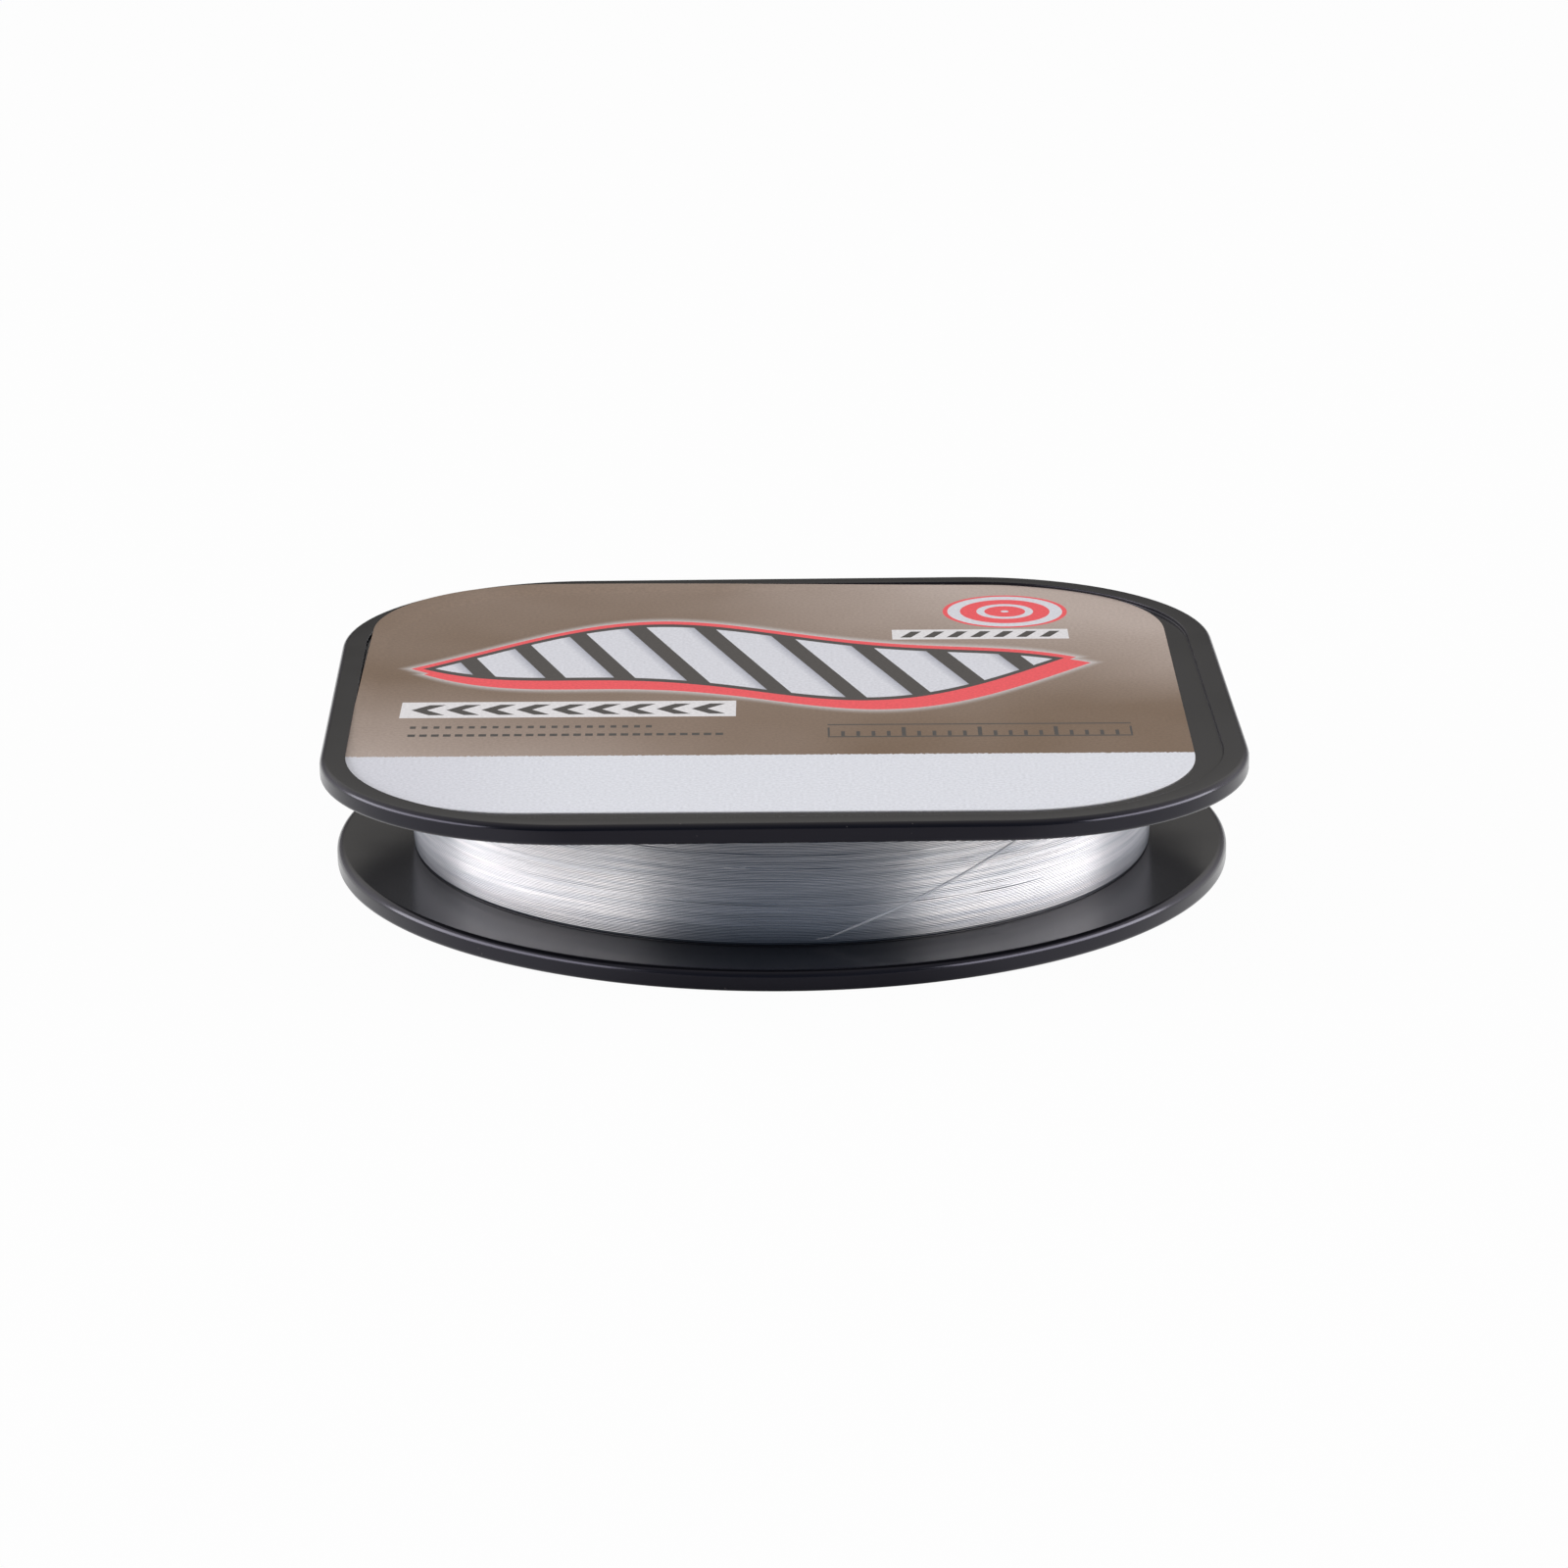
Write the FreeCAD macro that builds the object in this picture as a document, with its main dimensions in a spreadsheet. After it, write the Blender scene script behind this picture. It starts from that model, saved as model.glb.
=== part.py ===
# Filler spool of fishing line. A round half carries the barrel and the ribbed hub, a
# rounded-square half plugs into it and carries the paper label, and clear line fills the barrel.
# Millimetres and degrees. The origin is on the spool's axis, at the height of its underside.
import FreeCAD, Part
import math
import os
import Sketcher
from FreeCAD import Placement, Rotation, Vector

sizes = {
    # flanges and the whole
    "round_diameter": 108.0,
    "square_overhang": 0.25,
    "square_corner": 30.0,
    "spool_height": 20.0,
    # round half: web, foot ring under its rim and its edges
    "foot_rise": 0.9,
    "foot_width": 2.2,
    "round_web": 1.6,
    "rim_rounding": 0.9,
    "foot_rounding": 0.5,
    # barrel and hub
    "barrel_diameter": 79.0,
    "barrel_wall": 1.8,
    "bore_diameter": 12.0,
    "sleeve_wall": 2.0,
    "sleeve_gap": 0.6,
    "rib_count": 6,
    "rib_thickness": 1.2,
    "rib_rise": 0.6,
    "rib_height": 12.0,
    "lead_in": 0.4,
    # square half: rim, recessed panel and its edges
    "square_rim_height": 2.35,
    "square_border": 3.0,
    "under_border": 2.2,
    "panel_recess": 0.5,
    "panel_thickness": 1.5,
    "square_rounding": 0.7,
    "under_rounding": 0.5,
    "step_rounding": 0.2,
    # plug and collar that hold the halves together
    "plug_depth": 10.0,
    "plug_wall": 1.6,
    "plug_clearance": 0.05,
    "slot_clearance": 0.2,
    "collar_depth": 4.0,
    "collar_wall": 1.5,
    "collar_clearance": 0.05,
    # paper label, stuck a little off centre and askew
    "label_margin": 4.45,
    "label_corner": 22.0,
    "label_thickness": 0.12,
    "label_left": 1.55,
    "label_back": 1.8,
    "label_turn": -0.97,
    # line on the barrel
    "line_diameter": 0.33,
    "line_depth": 5.5,
    "winding_crown": 0.3,
    "winding_rounding": 0.6,
    "winding_end_gap": 0.15,
    "bed_clearance": 0.05,
    "layer_clearance": 0.03,
    "turn_gap": 0.6,
    "turn_margin": 0.55,
    "rise_bend": 0.5,
    "notch_clearance": 0.2,
    # the line's two ends
    "slit_angle": -40.2,
    "slit_depth": 1.0,
    "slit_length": 8.0,
    "slit_clearance": 0.2,
    "tail_slope": 20.5,
    "tail_lift": 2.2,
    "tail_bend": 2.0,
    "tail_upright": 0.4,
    "anchor_height": 5.0,
    "anchor_hole": 1.0,
    "knot_diameter": 1.4,
}

# Places and sizes that follow from the ones above.
derived = {
    "square_side": "{round_diameter} + 2 * {square_overhang}",
    "rim_radius": "{round_diameter} / 2",
    "foot_radius": "{rim_radius} - {foot_width}",
    "web_top": "{foot_rise} + {round_web}",
    "barrel_radius": "{barrel_diameter} / 2",
    "barrel_inside": "{barrel_radius} - {barrel_wall}",
    "sleeve_diameter": "{bore_diameter} + 2 * {sleeve_wall}",
    "rib_start": "({bore_diameter} + {sleeve_wall}) / 2",
    "rib_end": "{barrel_radius} - {barrel_wall} / 2",
    "rib_top": "{rib_rise} + {rib_height}",
    "panel_top": "{spool_height} - {panel_recess}",
    "panel_under": "{panel_top} - {panel_thickness}",
    "square_under": "{spool_height} - {square_rim_height}",
    "sleeve_top": "{panel_under} - {sleeve_gap}",
    "panel_side": "{square_side} - 2 * {square_border}",
    "panel_corner": "{square_corner} - {square_border}",
    "under_side": "{square_side} - 2 * {under_border}",
    "under_corner": "{square_corner} - {under_border}",
    "plug_foot": "{panel_under} - {plug_depth}",
    "plug_diameter": "2 * ({barrel_inside} - {plug_clearance})",
    "plug_bore": "{plug_diameter} - 2 * {plug_wall}",
    "slot_start": "{plug_bore} / 2 - {plug_wall}",
    "slot_end": "{plug_diameter} / 2 + {plug_wall}",
    "slot_width": "{rib_thickness} + 2 * {slot_clearance}",
    "slot_height": "{rib_top} + {slot_clearance} - {plug_foot}",
    "collar_bore": "{sleeve_diameter} + 2 * {collar_clearance}",
    "collar_diameter": "{collar_bore} + 2 * {collar_wall}",
    "label_side": "{square_side} - 2 * {label_margin}",
    "label_rise": "{panel_recess} + {label_thickness}",
    "label_inner_side": "{panel_side} - 2 * {label_thickness}",
    "label_inner_corner": "{panel_corner} - {label_thickness}",
    "label_bed_top": "{panel_top} + {label_thickness}",
    "blank_side": "2 * {label_side}",
    "winding_diameter": "{barrel_diameter} + 2 * {line_depth}",
    "bed_inside": "{barrel_radius} + {bed_clearance}",
    "bed_low": "{web_top} + {winding_end_gap}",
    "bed_high": "{panel_under} - 2 * {winding_end_gap}",
    "bed_middle": "({bed_low} + {bed_high}) / 2",
    "bed_half": "({bed_high} - {bed_low}) / 2",
    "bed_radius": "{winding_diameter} / 2 - {line_diameter} - {layer_clearance}",
    "bed_end_radius": "{bed_radius} - {winding_crown}",
    "crown_radius": "({bed_half} ^ 2 + {winding_crown} ^ 2) / (2 * {winding_crown})",
    "first_turn": "{bed_high} - {turn_margin}",
    "last_turn": "{bed_low} + {turn_margin}",
    "notch_diameter": "{rise_bend} + {line_diameter} + 2 * {notch_clearance}",
    "notch_floor": "{bed_end_radius} - {rise_bend} - 2 * {line_diameter}",
    "slit_width": "{line_diameter} + {slit_clearance}",
    "slit_start": "{winding_diameter} / 2 - {winding_crown} - {line_diameter}",
    "slit_end": "{slit_start} + {slit_length}",
}

refs = {}
refs.update({name: "Sizes." + name for name in sizes})
refs.update({name: "Places." + name for name in derived})


def link(formula):
    return formula.format_map(refs)


doc = FreeCAD.newDocument("FillerSpool")
sheets = {}
for title, cells in (("Sizes", sizes), ("Places", derived)):
    sheet = doc.addObject("Spreadsheet::Sheet", title)
    for row, (name, content) in enumerate(cells.items(), start=1):
        text = "=" + link(content) if title == "Places" else str(content)
        sheet.set(f"A{row}", name)
        sheet.set(f"B{row}", text)
        sheet.setAlias(f"B{row}", name)
    sheets[title] = sheet
    doc.recompute()


def value(name):
    sheet = sheets["Sizes" if name in sizes else "Places"]
    return float(sheet.get(name))


def bind(feature, path, formula):
    feature.setExpression(path, link(formula))


# Helpers for bodies and sketches

def new_body(name):
    body = doc.addObject("PartDesign::Body", name)
    body.Label = name
    return body


def sketch_on(body, name, role, height=None, turn=None):
    plane = next(f for f in body.Origin.OriginFeatures if f.Role == role)
    sketch = body.newObject("Sketcher::SketchObject", name)
    sketch.AttachmentSupport = [(plane, "")]
    sketch.MapMode = "FlatFace"
    if turn:
        sketch.AttachmentOffset = Placement(Vector(), Rotation(Vector(0, 0, 1), value(turn)))
        bind(sketch, "AttachmentOffset.Rotation.Angle", "{" + turn + "}")
    if height:
        bind(sketch, "AttachmentOffset.Base.z", height)
    return sketch


def dimension(sketch, kind, ends, name):
    index = sketch.addConstraint(Sketcher.Constraint(kind, *ends, value(name)))
    bind(sketch, f"Constraints[{index}]", "{" + name + "}")


def outline(sketch, corners):
    # A closed outline of straight edges. Each corner is a pair of named places, and "zero" is an axis.
    spots = [Vector(*(0 if name == "zero" else value(name) for name in corner)) for corner in corners]
    edges = [Part.LineSegment(a, b) for a, b in zip(spots, spots[1:] + spots[:1])]
    sketch.addGeometry(edges, False)
    for i in range(len(edges)):
        sketch.addConstraint(Sketcher.Constraint("Coincident", i, 2, (i + 1) % len(edges), 1))
    for i, corner in enumerate(corners):
        for kind, axis, name in zip(("DistanceX", "DistanceY"), (-2, -1), corner):
            if name == "zero":
                sketch.addConstraint(Sketcher.Constraint("PointOnObject", i, 1, axis))
            else:
                dimension(sketch, kind, (-1, 1, i, 1), name)


def ring(sketch, *diameters):
    for i, name in enumerate(diameters):
        sketch.addGeometry(Part.Circle(Vector(), Vector(0, 0, 1), value(name) / 2), False)
        sketch.addConstraint(Sketcher.Constraint("Coincident", i, 3, -1, 1))
        dimension(sketch, "Diameter", (i,), name)


def rounded_square(sketch, side, corner):
    # Four straight sides, each followed by its corner arc, centred on the sketch's origin.
    first = sketch.GeometryCount
    radius = value(corner)
    flat = value(side) / 2 - radius
    for quarter in range(4):
        turn = Rotation(Vector(0, 0, 1), 90 * quarter)
        start = turn.multVec(Vector(flat + radius, -flat, 0))
        end = turn.multVec(Vector(flat + radius, flat, 0))
        circle = Part.Circle(turn.multVec(Vector(flat, flat, 0)), Vector(0, 0, 1), radius)
        sketch.addGeometry(Part.LineSegment(start, end), False)
        arc_from = math.pi / 2 * quarter
        sketch.addGeometry(Part.ArcOfCircle(circle, arc_from, arc_from + math.pi / 2), False)
    for quarter in range(4):
        line = first + 2 * quarter
        following = first + (2 * quarter + 2) % 8
        sketch.addConstraint(Sketcher.Constraint("Tangent", line, 2, line + 1, 1))
        sketch.addConstraint(Sketcher.Constraint("Tangent", line + 1, 2, following, 1))
        sketch.addConstraint(Sketcher.Constraint(("Vertical", "Horizontal")[quarter % 2], line))
        if quarter:
            sketch.addConstraint(Sketcher.Constraint("Equal", first + 1, line + 1))
    sketch.addConstraint(Sketcher.Constraint("Symmetric", first + 1, 3, first + 5, 3, -1, 1))
    dimension(sketch, "DistanceX", (first + 4, 1, first, 1), side)
    dimension(sketch, "DistanceY", (first + 6, 1, first + 2, 1), side)
    dimension(sketch, "Radius", (first + 1,), corner)


def slab(sketch, near, far, width):
    # A rectangle along the sketch's X axis, as wide to one side of it as to the other.
    half = value(width) / 2
    spots = [Vector(value(x), y, 0) for x, y in ((near, -half), (far, -half), (far, half), (near, half))]
    sketch.addGeometry([Part.LineSegment(a, b) for a, b in zip(spots, spots[1:] + spots[:1])], False)
    for i in range(4):
        sketch.addConstraint(Sketcher.Constraint("Coincident", i, 2, (i + 1) % 4, 1))
    for i, direction in enumerate(("Horizontal", "Vertical", "Horizontal")):
        sketch.addConstraint(Sketcher.Constraint(direction, i))
    sketch.addConstraint(Sketcher.Constraint("Symmetric", 0, 1, 3, 1, -1))
    dimension(sketch, "DistanceX", (-1, 1, 0, 1), near)
    dimension(sketch, "DistanceX", (-1, 1, 1, 1), far)
    dimension(sketch, "DistanceY", (1, 1, 2, 1), width)


# Helpers for features

def feature_of(body, kind, name, sketch, **settings):
    feature = body.newObject("PartDesign::" + kind, name)
    feature.Profile = sketch
    sketch.Visibility = False
    for key, setting in settings.items():
        setattr(feature, key, setting)
    return feature


def turned(body, name, sketch):
    axis = (sketch, ["V_Axis"])
    return feature_of(body, "Revolution", name, sketch, ReferenceAxis=axis, Angle=360.0)


def extruded(body, kind, name, sketch, length, **settings):
    before = body.Shape.Volume if not body.Shape.isNull() else 0.0
    feature = feature_of(body, kind, name, sketch, **settings)
    bind(feature, "Length", length)
    doc.recompute()
    change = feature.Shape.Volume - before
    if (change > 0) != (kind == "Pad"):
        raise ValueError(f"{body.Label}: {name} changed the volume by {change:.3f}")
    return feature


def repeated(body, name, feature, count):
    pattern = body.newObject("PartDesign::PolarPattern", name)
    axis = next(f for f in body.Origin.OriginFeatures if f.Role == "Z_Axis")
    pattern.Originals = [feature]
    pattern.Axis = (axis, [""])
    pattern.Angle = 360.0
    bind(pattern, "Occurrences", count)
    body.Tip = pattern
    doc.recompute()
    return pattern


def edges_on(shape, half, corner, height):
    # Names of the edges that lie on a rounded square, or on a circle, whose corner is its half side.
    names = []
    for number, edge in enumerate(shape.Edges, start=1):
        on_outline = True
        for spot in edge.discretize(5):
            across = [max(abs(c) - (half - corner), 0.0) for c in (spot.x, spot.y)]
            offset = math.hypot(*across) - corner
            on_outline = on_outline and abs(offset) < 1e-4 and abs(spot.z - height) < 1e-4
        if on_outline:
            names.append(f"Edge{number}")
    return names


def eased(body, kind, name, half, corner, height, size):
    doc.recompute()
    names = edges_on(body.Tip.Shape, half, corner, height)
    if not names:
        raise ValueError(f"{body.Label}: {name} found no edge")
    tip = body.Tip
    feature = body.newObject("PartDesign::" + kind, name)
    feature.Base = (tip, names)
    bind(feature, "Radius" if kind == "Fillet" else "Size", size)
    doc.recompute()
    return feature


# Round half: flange with its foot ring, barrel, six ribs and the sleeve with the spindle bore

round_half = new_body("round_half")
section = sketch_on(round_half, "flange_section", "XZ_Plane")
outline(section, [
    ("barrel_inside", "zero"),
    ("barrel_radius", "zero"),
    ("barrel_radius", "foot_rise"),
    ("foot_radius", "foot_rise"),
    ("foot_radius", "zero"),
    ("rim_radius", "zero"),
    ("rim_radius", "web_top"),
    ("barrel_radius", "web_top"),
    ("barrel_radius", "panel_under"),
    ("barrel_inside", "panel_under"),
])
turned(round_half, "flange_and_barrel", section)
rim = value("rim_radius")
web_top = value("web_top")
barrel_inside = value("barrel_inside")
panel_under = value("panel_under")
eased(round_half, "Fillet", "rim_top_edge", rim, rim, web_top, "{rim_rounding}")
eased(round_half, "Fillet", "rim_foot_edge", rim, rim, 0.0, "{foot_rounding}")
eased(round_half, "Chamfer", "barrel_lead_in", barrel_inside, barrel_inside, panel_under, "{lead_in}")

rib_section = sketch_on(round_half, "rib_section", "XZ_Plane")
outline(rib_section, [
    ("rib_start", "rib_rise"),
    ("rib_end", "rib_rise"),
    ("rib_end", "rib_top"),
    ("rib_start", "rib_top"),
])
rib = extruded(round_half, "Pad", "rib", rib_section, "{rib_thickness}", Midplane=True)
repeated(round_half, "ribs", rib, "{rib_count}")
sleeve_ring = sketch_on(round_half, "sleeve_ring", "XY_Plane")
ring(sleeve_ring, "sleeve_diameter", "bore_diameter")
extruded(round_half, "Pad", "spindle_sleeve", sleeve_ring, "{sleeve_top}")

# The hole behind which the line's first end is knotted, level with the lowest turns.
anchor = sketch_on(round_half, "anchor_circle", "XZ_Plane", "-({barrel_inside} - {barrel_wall})")
bind(anchor, "AttachmentOffset.Base.y", "{anchor_height}")
ring(anchor, "anchor_hole")
extruded(round_half, "Pocket", "anchor_hole", anchor, "3 * {barrel_wall}")

# Square half: rounded-square flange with a recessed panel, slotted plug and collar

square_half = new_body("square_half")
face = sketch_on(square_half, "flange_outline", "XY_Plane", "{square_under}")
rounded_square(face, "square_side", "square_corner")
extruded(square_half, "Pad", "flange", face, "{square_rim_height}")
half_side = value("square_side") / 2
corner = value("square_corner")
height = value("spool_height")
eased(square_half, "Fillet", "flange_top_edge", half_side, corner, height, "{square_rounding}")
square_under = value("square_under")
eased(square_half, "Fillet", "flange_under_edge", half_side, corner, square_under, "{under_rounding}")
recess = sketch_on(square_half, "panel_outline", "XY_Plane", "{panel_top}")
rounded_square(recess, "panel_side", "panel_corner")
extruded(square_half, "Pocket", "label_recess", recess, "{panel_recess}", Reversed=True)
panel_half = value("panel_side") / 2
eased(square_half, "Fillet", "step_edge", panel_half, value("panel_corner"), height, "{step_rounding}")
hollow = sketch_on(square_half, "under_outline", "XY_Plane", "{square_under}")
rounded_square(hollow, "under_side", "under_corner")
hollow_depth = "{panel_under} - {square_under}"
extruded(square_half, "Pocket", "under_hollow", hollow, hollow_depth, Reversed=True)

plug_ring = sketch_on(square_half, "plug_ring", "XY_Plane", "{plug_foot}")
ring(plug_ring, "plug_diameter", "plug_bore")
extruded(square_half, "Pad", "plug", plug_ring, "{plug_depth}")
plug_radius = value("plug_diameter") / 2
eased(square_half, "Chamfer", "plug_lead_in", plug_radius, plug_radius, value("plug_foot"), "{lead_in}")
rib_slot = sketch_on(square_half, "rib_slot", "XY_Plane", "{plug_foot}")
slab(rib_slot, "slot_start", "slot_end", "slot_width")
slot = extruded(square_half, "Pocket", "slot", rib_slot, "{slot_height}", Reversed=True)
repeated(square_half, "slots", slot, "{rib_count}")
collar_ring = sketch_on(square_half, "collar_ring", "XY_Plane", "{panel_under} - {collar_depth}")
ring(collar_ring, "collar_diameter", "collar_bore")
extruded(square_half, "Pad", "sleeve_collar", collar_ring, "{collar_depth}")

# The slit in the underside that nips the line's free end.
slit = sketch_on(square_half, "slit_outline", "XY_Plane", "{panel_under}", "slit_angle")
slab(slit, "slit_start", "slit_end", "slit_width")
extruded(square_half, "Pocket", "line_slit", slit, "{slit_depth}", Reversed=True)

# Paper label: lies in the recess and climbs over the border where it overlaps it

label = new_body("front_label")
paper = sketch_on(label, "label_outline", "XY_Plane", "{panel_top}", "label_turn")
bind(paper, "AttachmentOffset.Base.x", "-{label_left}")
bind(paper, "AttachmentOffset.Base.y", "{label_back}")
rounded_square(paper, "label_side", "label_corner")
extruded(label, "Pad", "paper_blank", paper, "{label_rise}")
above = sketch_on(label, "inner_outline", "XY_Plane", "{label_bed_top}")
rounded_square(above, "label_inner_side", "label_inner_corner")
extruded(label, "Pocket", "clear_above_panel", above, "{panel_recess}", Reversed=True)
around = sketch_on(label, "border_outline", "XY_Plane", "{panel_top}")
rounded_square(around, "blank_side", "panel_corner")
rounded_square(around, "panel_side", "panel_corner")
extruded(label, "Pocket", "clear_of_border", around, "{panel_recess}", Reversed=True)

# Bed of line: all the layers under the outermost one, with a gentle crown

line_diameter = value("line_diameter")
bed_middle = value("bed_middle")
bed_half = value("bed_half")
crown_radius = value("crown_radius")
crown_centre = value("bed_radius") - crown_radius
rounding = value("winding_rounding")
layer_offset = line_diameter / 2 + value("layer_clearance")
up = Vector(0, 0, 1)


def lay_radius(level):
    # Distance from the axis to the middle of a strand of the outermost layer.
    off = abs(level - bed_middle)
    round_off = bed_half - rounding
    if off < round_off * (crown_radius + layer_offset) / (crown_radius - rounding):
        return crown_centre + math.sqrt((crown_radius + layer_offset) ** 2 - off ** 2)
    round_centre = crown_centre + math.sqrt((crown_radius - rounding) ** 2 - round_off ** 2)
    return round_centre + math.sqrt((rounding + layer_offset) ** 2 - (off - round_off) ** 2)


def around_axis(angle, radius, level):
    return Vector(radius * math.cos(angle), radius * math.sin(angle), level)


bed = new_body("line_bed")
bed_section = sketch_on(bed, "bed_section", "XZ_Plane")
inside = value("bed_inside")
low = value("bed_low")
high = value("bed_high")
end_radius = value("bed_end_radius")
bulge_top = Vector(value("bed_radius"), bed_middle, 0)
bulge = Part.Arc(Vector(end_radius, low, 0), bulge_top, Vector(end_radius, high, 0))
bed_section.addGeometry(Part.LineSegment(Vector(end_radius, high, 0), Vector(inside, high, 0)), False)
bed_section.addGeometry(Part.LineSegment(Vector(inside, high, 0), Vector(inside, low, 0)), False)
bed_section.addGeometry(Part.LineSegment(Vector(inside, low, 0), Vector(end_radius, low, 0)), False)
bed_section.addGeometry(bulge, False)
for joined in ((0, 2, 1, 1), (1, 2, 2, 1), (2, 2, 3, 1), (3, 2, 0, 1)):
    bed_section.addConstraint(Sketcher.Constraint("Coincident", *joined))
for spot, names in ((0, ("bed_end_radius", "bed_high")), (1, ("bed_inside", "bed_high")),
                    (2, ("bed_inside", "bed_low"))):
    dimension(bed_section, "DistanceX", (-1, 1, spot, 1), names[0])
    dimension(bed_section, "DistanceY", (-1, 1, spot, 1), names[1])
bed_section.addConstraint(Sketcher.Constraint("Horizontal", 2))
bed_section.addConstraint(Sketcher.Constraint("Vertical", 0, 1, 2, 2))
dimension(bed_section, "Radius", (3,), "crown_radius")
turned(bed, "layers", bed_section)
eased(bed, "Fillet", "upper_shoulder", end_radius, end_radius, high, "{winding_rounding}")
eased(bed, "Fillet", "lower_shoulder", end_radius, end_radius, low, "{winding_rounding}")

# Notch behind, out of which the outermost layer rises from the layers below

notch = sketch_on(bed, "notch_circle", "XZ_Plane", "-{notch_floor}")
bind(notch, "AttachmentOffset.Base.x", "{notch_diameter} / 2 - {notch_clearance}")
bind(notch, "AttachmentOffset.Base.y", "{first_turn}")
ring(notch, "notch_diameter")
extruded(bed, "Pocket", "notch", notch, "{bed_radius} - {notch_floor} + {line_diameter}")

# Strands: pipes round biarcs


def arc_from(start, heading, end):
    # One arc that leaves start along heading and reaches end, or a line where that is straight.
    chord = end - start
    along = Vector(chord).normalize()
    aside = heading - along * heading.dot(along)
    if aside.Length < 1e-7:
        return Part.LineSegment(start, end)
    half_turn = math.atan2(aside.Length, heading.dot(along))
    middle = (start + end) / 2 + aside.normalize() * chord.Length / 2 * math.tan(half_turn / 2)
    return Part.Arc(start, middle, end)


def biarc(start, heading, end, end_heading):
    # Two arcs from start to end, tangent to both headings and to each other.
    chord = end - start
    lean = chord.dot(heading + end_heading)
    spread = 2 * (1 - heading.dot(end_heading)) * chord.dot(chord)
    reach = chord.dot(chord) / (lean + math.sqrt(lean ** 2 + spread))
    joint = (start + heading * reach + end - end_heading * reach) / 2
    return [arc_from(start, heading, joint), arc_from(end, end_heading * -1, joint)]


def strand(name, curves, start, heading):
    # A tube of the line's diameter along lines and arcs that follow each other.
    path = Part.Wire([curve.toShape() for curve in curves])
    section = Part.Wire([Part.Circle(start, heading, line_diameter / 2).toShape()])
    feature = doc.addObject("Part::Feature", name)
    feature.Label = name
    feature.Shape = path.makePipeShell([section], True, False)
    expected = math.pi * line_diameter ** 2 / 4 * path.Length
    share = feature.Shape.Volume / expected
    print(f"{name}: length {path.Length:.1f} mm, volume {share:.4f} of its section's")
    return feature


# Free end: climbs over the last layer in front and turns up into the slit

first_level = value("first_turn")
last_level = value("last_turn")
tail_slope = math.radians(value("tail_slope"))
tail_lift = value("tail_lift")
tail_bend = value("tail_bend")
upright_level = value("panel_under") - value("tail_upright")
bend_level = upright_level - tail_bend * math.cos(tail_slope)
tail_offset = layer_offset + line_diameter + value("layer_clearance")


def tail_radius(level, gone):
    # The tail lifts from the outermost layer to one strand above it over the tail's first length.
    over = crown_centre + math.sqrt((crown_radius + tail_offset) ** 2 - (level - bed_middle) ** 2)
    share = min(gone / tail_lift, 1.0)
    lifted = share ** 2 * (3 - 2 * share)
    return lay_radius(last_level) * (1 - lifted) + over * lifted


def walk_tail(step):
    # Angle, radius and level at even steps up the tail, counted from where it starts.
    angle, level, slope, gone = 0.0, last_level, 0.0, 0.0
    spots = [(angle, tail_radius(level, gone), level)]
    while slope < math.pi / 2:
        gone += step
        if level < bend_level:
            slope = tail_slope * min(gone / tail_lift, 1.0)
        else:
            slope = min(slope + step / tail_bend, math.pi / 2)
        level += step * math.sin(slope)
        radius = tail_radius(level, gone)
        angle += step * math.cos(slope) / radius
        spots.append((angle, radius, level))
    return spots


walked = walk_tail(0.01)
slit_direction = math.radians(value("slit_angle"))
tail_start = slit_direction - walked[-1][0]
tail_knots = []
knot_spacing = 110
for i in range(knot_spacing, len(walked) - knot_spacing // 2, knot_spacing):
    before, here, after = (around_axis(tail_start + a, r, z) for a, r, z in walked[i - 1:i + 2])
    tail_knots.append((here, (after - before).normalize()))
tail_top = around_axis(slit_direction, walked[-1][1], walked[-1][2])
tail_knots.append((tail_top, up))

# Outermost layer: from the notch round and round to where the free end starts

start_angle = math.pi / 2
turn_pitch = line_diameter + value("turn_gap")
part_turn = (tail_start - start_angle) / (2 * math.pi) % 1
turns = math.floor((first_level - last_level) / turn_pitch - part_turn) + part_turn
sweep = 2 * math.pi * turns


def turn_spot(angle):
    level = first_level - (first_level - last_level) * angle / sweep
    return around_axis(start_angle + angle, lay_radius(level), level)


def turn_heading(angle):
    nudge = 1e-4
    return (turn_spot(angle + nudge) - turn_spot(angle - nudge)).normalize()


rise_bend = value("rise_bend")
outward = Vector(0, 1, 0)
first_heading = turn_heading(0)
rise_top = turn_spot(0) - first_heading * rise_bend - outward * rise_bend
rise_foot = Vector(rise_top.x, value("notch_floor"), rise_top.z)
curves = [Part.LineSegment(rise_foot, rise_top)]
curves += biarc(rise_top, outward, turn_spot(0), first_heading)
halves = math.ceil(2 * turns)
for i in range(halves):
    here, there = sweep * i / halves, sweep * (i + 1) / halves
    curves += biarc(turn_spot(here), turn_heading(here), turn_spot(there), turn_heading(there))
last_heading = turn_heading(sweep)
turns_end = turn_spot(sweep) + last_heading * line_diameter
curves.append(Part.LineSegment(turn_spot(sweep), turns_end))
layer = strand("outer_turns", curves, rise_foot, outward)

checked = [sweep * i / 720 for i in range(720)]
gaps = [(turn_spot(a + 2 * math.pi) - turn_spot(a)).Length - line_diameter
        for a in checked if a + 2 * math.pi < sweep]
rise_gap = min((turn_spot(2 * math.pi) - spot).Length for spot in (rise_foot, rise_top, turn_spot(0)))
gaps.append(rise_gap - line_diameter)
print(f"outer_turns: {turns:.2f} turns, least gap to itself {min(gaps):.3f} mm")

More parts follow.
